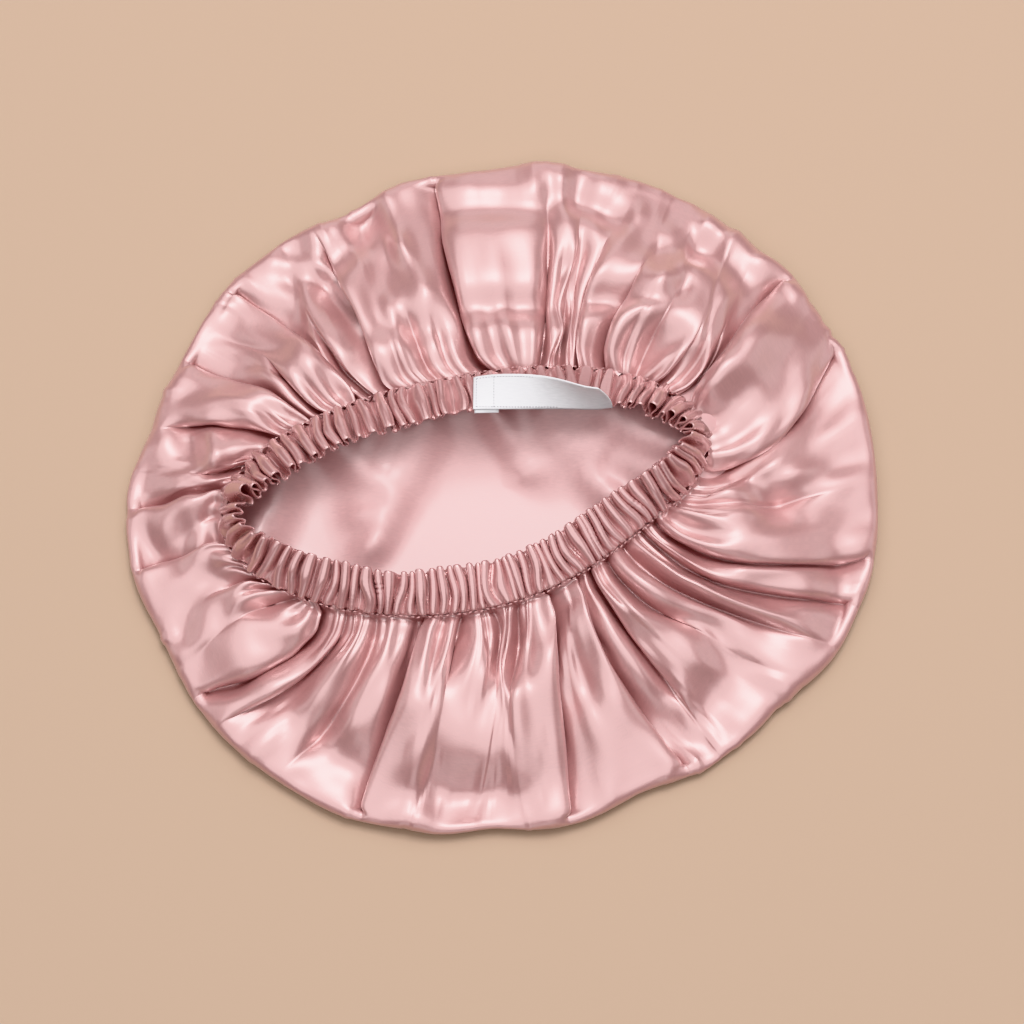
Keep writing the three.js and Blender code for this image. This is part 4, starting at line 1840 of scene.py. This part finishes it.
@dataclass
class SeamThread:
    """The row of stitches that joins the band to the crown.

    Attributes:
        mouth: The seam.
        crown: The crown, whose edge the stitches lie on where it isn't below the band.
        pitch: From stitch to stitch.
        length: Length of a stitch.
        radius: Radius of the thread.
        rise: How far the stitches stand above the edge.
        askew: How far a stitch may turn out of the line.
        tilted: How far it may rise or fall.
        aside: How far inside and outside the line it may lie.
        lean: How far its top leans out.
        seed: Seed of their differences.
    """

    mouth: Mouth
    crown: Crown
    pitch: float = 2.5
    length: float = 1.9
    radius: float = 0.34
    rise: float = 0.7
    askew: float = 0.35
    tilted: float = 0.3
    aside: tuple[float, float] = (-0.2, 0.5)
    lean: float = 0.2
    seed: int = 21

    def build(self) -> list[bpy.types.Object]:
        """Lay the stitches along the crown's edge, each a little askew.

        Returns:
            The one piece that they are.
        """
        draw = np.random.default_rng(self.seed)
        _, length = self.mouth.around(2)
        count = int(length[1] * 2 / self.pitch)
        angle, _ = self.mouth.around(count)
        edge = self.crown.grid()[0][0]
        at = self.crown.panel_values("seam", self.crown.columns(), eased=False)
        lowest = self.mouth.band_axes(angle)[0][:, 2]
        height = np.maximum(np.interp(angle, at, edge[:, 2], period=TURN), lowest) + self.rise
        outward = self.mouth.outward(angle)
        way = np.stack([-outward[:, 1], outward[:, 0]], axis=-1)
        skew = draw.uniform(-self.askew, self.askew, (count, 1))
        tilt = draw.uniform(-self.tilted, self.tilted, (count, 1))
        plan = self.mouth.point(angle) + outward * draw.uniform(*self.aside, (count, 1))
        ways = unit(np.concatenate([way + outward * skew, tilt], axis=-1))
        middles = np.concatenate([plan, height[:, None]], axis=-1)
        ups = np.concatenate([outward * self.lean, np.ones((count, 1))], axis=-1)
        thread = Stitches("seam_stitches", "satin", ROSE_THREAD, self.length, self.radius)
        return [thread.build(middles, ways, ups)]


@dataclass
class CareLabel:
    """The blank label strip: sewn down at one end, turned up on its near edge at the other.

    Attributes:
        sewn_corner: Where its near edge starts.
        free_corner: Where its near edge ends.
        width: Width of the tape.
        thickness: Thickness of the tape.
        tilt: Degrees up from level at the two ends.
        tilt_power: Power by which it turns from the one to the other.
        slant: How much shorter the far edge is than the near one.
        slant_from: Share of the length from which it gets shorter.
        curl: How far the last bit of the free end bends back.
        curl_from: Share of the length from which it does.
        wave: How far the tape waves in and out.
        wave_turn: How many radians of wave it has.
        under_length: How far the end that is tucked under it runs, as a share of the length.
        under_start: Where that end starts, as such a share.
        under_shift: How far that end shows past the near edge.
        columns: Points along the strip and along the end under it.
        rows: Points across them.
        row_places: Shares of the length where stitches run across.
        row_span: Shares of the width between which they do.
        row_stitches: Stitches in each of those rows.
        edge_places: Shares of the width where stitches run along.
        edge_span: Shares of the length between which they do.
        edge_stitches: Stitches in each of those rows.
        stitch: Length of a stitch.
        thread_radius: Radius of the thread.
        measures: Points by which the direction of the tape is measured.
        finish: The tape.
    """

    sewn_corner: Point = (-12.7, 26.6, 34.9)
    free_corner: Point = (48.4, 26.2, 36.8)
    width: float = 15.5
    thickness: float = 0.5
    tilt: tuple[float, float] = (-8.0, 74.0)
    tilt_power: float = 0.9
    slant: float = 6.5
    slant_from: float = 0.3
    curl: float = 0.7
    curl_from: float = 0.88
    wave: float = 0.25
    wave_turn: float = 9.0
    under_length: float = 0.185
    under_start: float = 0.01
    under_shift: float = 1.4
    columns: tuple[int, int] = (90, 12)
    rows: tuple[int, int] = (18, 8)
    row_places: tuple[float, float] = (0.022, 0.15)
    row_span: tuple[float, float] = (0.08, 0.92)
    row_stitches: int = 11
    edge_places: tuple[float, float] = (0.07, 0.93)
    edge_span: tuple[float, float] = (0.03, 0.6)
    edge_stitches: int = 28
    stitch: float = 0.95
    thread_radius: float = 0.26
    measures: int = 50
    finish: ClothFinish = LABEL_TAPE

    def axes(self, along: Array) -> tuple[Array, Array, Array]:
        """The strip's near edge, the way across it and the way out of its face.

        Args:
            along: Shares of the way from the sewn end to the free one.

        Returns:
            Points and directions, one for each share.
        """
        start, end = np.array(self.sewn_corner), np.array(self.free_corner)
        way = unit(end - start)
        back = unit(np.cross((0.0, 0.0, 1.0), way))
        up = np.cross(way, back)
        turned = along**self.tilt_power
        tilt = np.radians(self.tilt[0] + (self.tilt[1] - self.tilt[0]) * turned)[:, None]
        wide = back * np.cos(tilt) + up * np.sin(tilt)
        out = up * np.cos(tilt) - back * np.sin(tilt)
        bend = self.curl * ease(along, self.curl_from, 1.0) - self.wave * np.sin(self.wave_turn * along)
        return start + (end - start) * along[:, None] - out * bend[:, None], wide, out

    def grid(self) -> tuple[Array, Array]:
        """The strip: straight sections from its near edge, each turned up by the tilt there.

        Returns:
            Points, rows across by columns along by 3, and their places on the flat tape.
        """
        along = np.linspace(0.0, 1.0, self.columns[0])
        foot, wide, _ = self.axes(along)
        share = np.linspace(0.0, 1.0, self.rows[0])[:, None, None]
        short = self.slant * share**2 * ease(along, self.slant_from, 1.0)[None, :, None]
        points = foot[None] + wide[None] * share * self.width - unit(foot[-1] - foot[0]) * short
        return points, self.flat_places(foot, share)

    def under_grid(self) -> tuple[Array, Array]:
        """The end that is tucked under the strip: the same sections, moved down and to the front.

        Returns:
            Points, rows across by columns along by 3, and their places on the flat tape.
        """
        foot, wide, out = self.axes(np.linspace(self.under_start, self.under_length, self.columns[1]))
        share = np.linspace(0.0, 1.0, self.rows[1])[:, None, None]
        under = foot - wide * self.under_shift - out * (2 * self.thickness)
        return under[None] + wide[None] * share * self.width, self.flat_places(foot, share)

    def flat_places(self, foot: Array, share: Array) -> Array:
        """Places on the flat tape: the length along its near edge and the way across."""
        places = run_length(foot)[None, :], share[..., 0] * self.width
        return np.stack(np.broadcast_arrays(*places), axis=-1)

    def tape(self, name: str, points: Array, cut: Array) -> bpy.types.Object:
        """One layer of tape, thickened.

        Args:
            name: The piece's name.
            points: Its grid.
            cut: The grid on the flat tape.

        Returns:
            The layer's object.
        """
        piece = GridPiece(name, points, cut, round_columns=False).build()
        wall = piece.modifiers.new("wall", "SOLIDIFY")
        wall.thickness = self.thickness * MM
        wall.offset = 0.0
        piece.data.materials.append(self.finish.material())
        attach(piece, BODY)
        return piece

    def thread(self) -> bpy.types.Object:
        """Fine stitches: two rows across the sewn end and one along each edge.

        Returns:
            The stitches' object.
        """
        across = np.linspace(*self.row_span, self.row_stitches)
        down = np.linspace(*self.edge_span, self.edge_stitches)
        along = np.concatenate([np.repeat(self.row_places, len(across)), down, down])
        share = np.concatenate([across, across, np.repeat(self.edge_places, len(down))])
        foot, wide, out = self.axes(along)
        fine = np.linspace(0.0, 1.0, self.measures)
        slope = np.gradient(self.axes(fine)[0], axis=0)
        ways = unit(np.stack([np.interp(along, fine, part) for part in slope.T], axis=-1))
        lies_across = (np.arange(len(along)) < 2 * self.row_stitches)[:, None]
        middles = foot + wide * (share * self.width)[:, None] + out * (self.thickness / 2)
        stitches = Stitches("label_stitches", "label_tape", WHITE_THREAD, self.stitch, self.thread_radius)
        return stitches.build(middles, np.where(lies_across, wide, ways), out)

    def build(self) -> list[bpy.types.Object]:
        """Build and dress the label.

        Returns:
            The strip, the end under it and their stitches.
        """
        strip = self.tape("care_label_tape", *self.grid())
        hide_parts("care_label")
        return [strip, self.tape("care_label_under", *self.under_grid()), self.thread()]


@dataclass(frozen=True)
class Lamp:
    """A square soft light that looks at the bonnet.

    Attributes:
        name: The light's name.
        place: Where it stands, in metres.
        size: Length of its side in metres.
        power: Its power in watts.
    """

    name: str
    place: Point
    size: float
    power: float


LAMPS: tuple[Lamp, ...] = (
    Lamp("key", (0.2, 0.7, 2.2), 0.9, 43.0),
    Lamp("top", (-0.1, 0.0, 2.0), 4.3, 90.0),
    Lamp("right", (2.4, 0.3, 0.5), 1.6, 6.5),
    Lamp("left", (-2.4, 0.3, 0.5), 1.6, 6.5),
    Lamp("behind", (0.0, 2.4, 0.5), 1.6, 6.5),
    Lamp("front", (0.0, -2.4, 0.5), 1.6, 6.5),
)


@dataclass
class Studio:
    """Floor, soft light and the camera above the front of the bonnet.

    Attributes:
        view: The photograph's camera.
        floor_half: Half the side of the floor in metres.
        floor_drop: How far below the bonnet the floor lies, in metres.
        floor_colour: Linear colour of the floor.
        floor_roughness: Its roughness.
        room_colour: Linear colour of the light from all round.
        glow: Strength of that light.
        backdrop: How bright the room is where the camera sees it.
    """

    view: PhotoView = PHOTO
    floor_half: float = 2.0
    floor_drop: float = 0.0002
    floor_colour: Colour = (0.385, 0.275, 0.205)
    floor_roughness: float = 0.9
    room_colour: Colour = (1.0, 0.96, 0.93)
    glow: float = 0.1
    backdrop: float = 0.6

    def floor(self) -> None:
        """A wide pale floor just under the bonnet."""
        floor = level_square("floor", self.floor_half, -self.floor_drop)
        made = bpy.data.materials.new("pale_floor")
        made.use_nodes = True
        shader = made.node_tree.nodes["Principled BSDF"]
        colour = (*self.floor_colour, 1.0)
        set_inputs(shader, {"Base Color": colour, "Roughness": self.floor_roughness})
        floor.data.materials.append(made)

    def light(self, lamp: Lamp) -> None:
        """Hang a lamp and turn it to the target."""
        data = bpy.data.lights.new(lamp.name, "AREA")
        data.size = lamp.size
        data.energy = lamp.power
        hung = linked(lamp.name, data)
        hung.location = lamp.place
        hung.rotation_euler = self.look(lamp.place)

    def look(self, place: Point) -> Point:
        """The turn that points a lamp at the target.

        Args:
            place: Where it stands.

        Returns:
            Euler angles.
        """
        away = np.subtract(place, self.view.target)
        level = math.hypot(away[0], away[1])
        return (math.atan2(level, away[2]), 0.0, math.atan2(away[0], -away[1]))

    def camera(self) -> None:
        """The camera at the photograph's angle."""
        data = bpy.data.cameras.new("camera")
        data.lens = self.view.lens
        data.sensor_width = self.view.sensor
        camera = linked("camera", data)
        camera.location = self.view.eye()
        camera.rotation_euler = (math.pi / 2 - math.radians(self.view.elevation), 0.0, 0.0)
        bpy.context.scene.camera = camera

    def build(self) -> None:
        """Set up the whole studio."""
        world = bpy.data.worlds.new("studio")
        world.use_nodes = True
        nodes, links = world.node_tree.nodes, world.node_tree.links
        back = nodes["Background"]
        set_inputs(back, {"Color": (*self.room_colour, 1.0)})
        seen = nodes.new("ShaderNodeLightPath")
        strength = nodes.new("ShaderNodeMapRange")
        set_inputs(strength, {"To Min": self.glow, "To Max": self.backdrop})
        links.new(seen.outputs["Is Camera Ray"], strength.inputs["Value"])
        links.new(strength.outputs["Result"], back.inputs["Strength"])
        bpy.context.scene.world = world
        bpy.context.scene.view_settings.view_transform = "Khronos PBR Neutral"
        self.floor()
        self.camera()
        for lamp in LAMPS:
            self.light(lamp)


def main() -> None:
    """Build every piece in order and report it."""
    logging.basicConfig(level=logging.INFO, format="%(name)s: %(message)s")
    Studio().build()
    mouth = Mouth()
    crown = Crown(mouth, Drape())
    for part in (crown, ElasticBand(mouth), SeamThread(mouth, crown), CareLabel()):
        for piece in part.build():
            log.info("%s: %d points", piece.name, len(piece.data.vertices))
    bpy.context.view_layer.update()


if __name__ == "__main__":
    main()
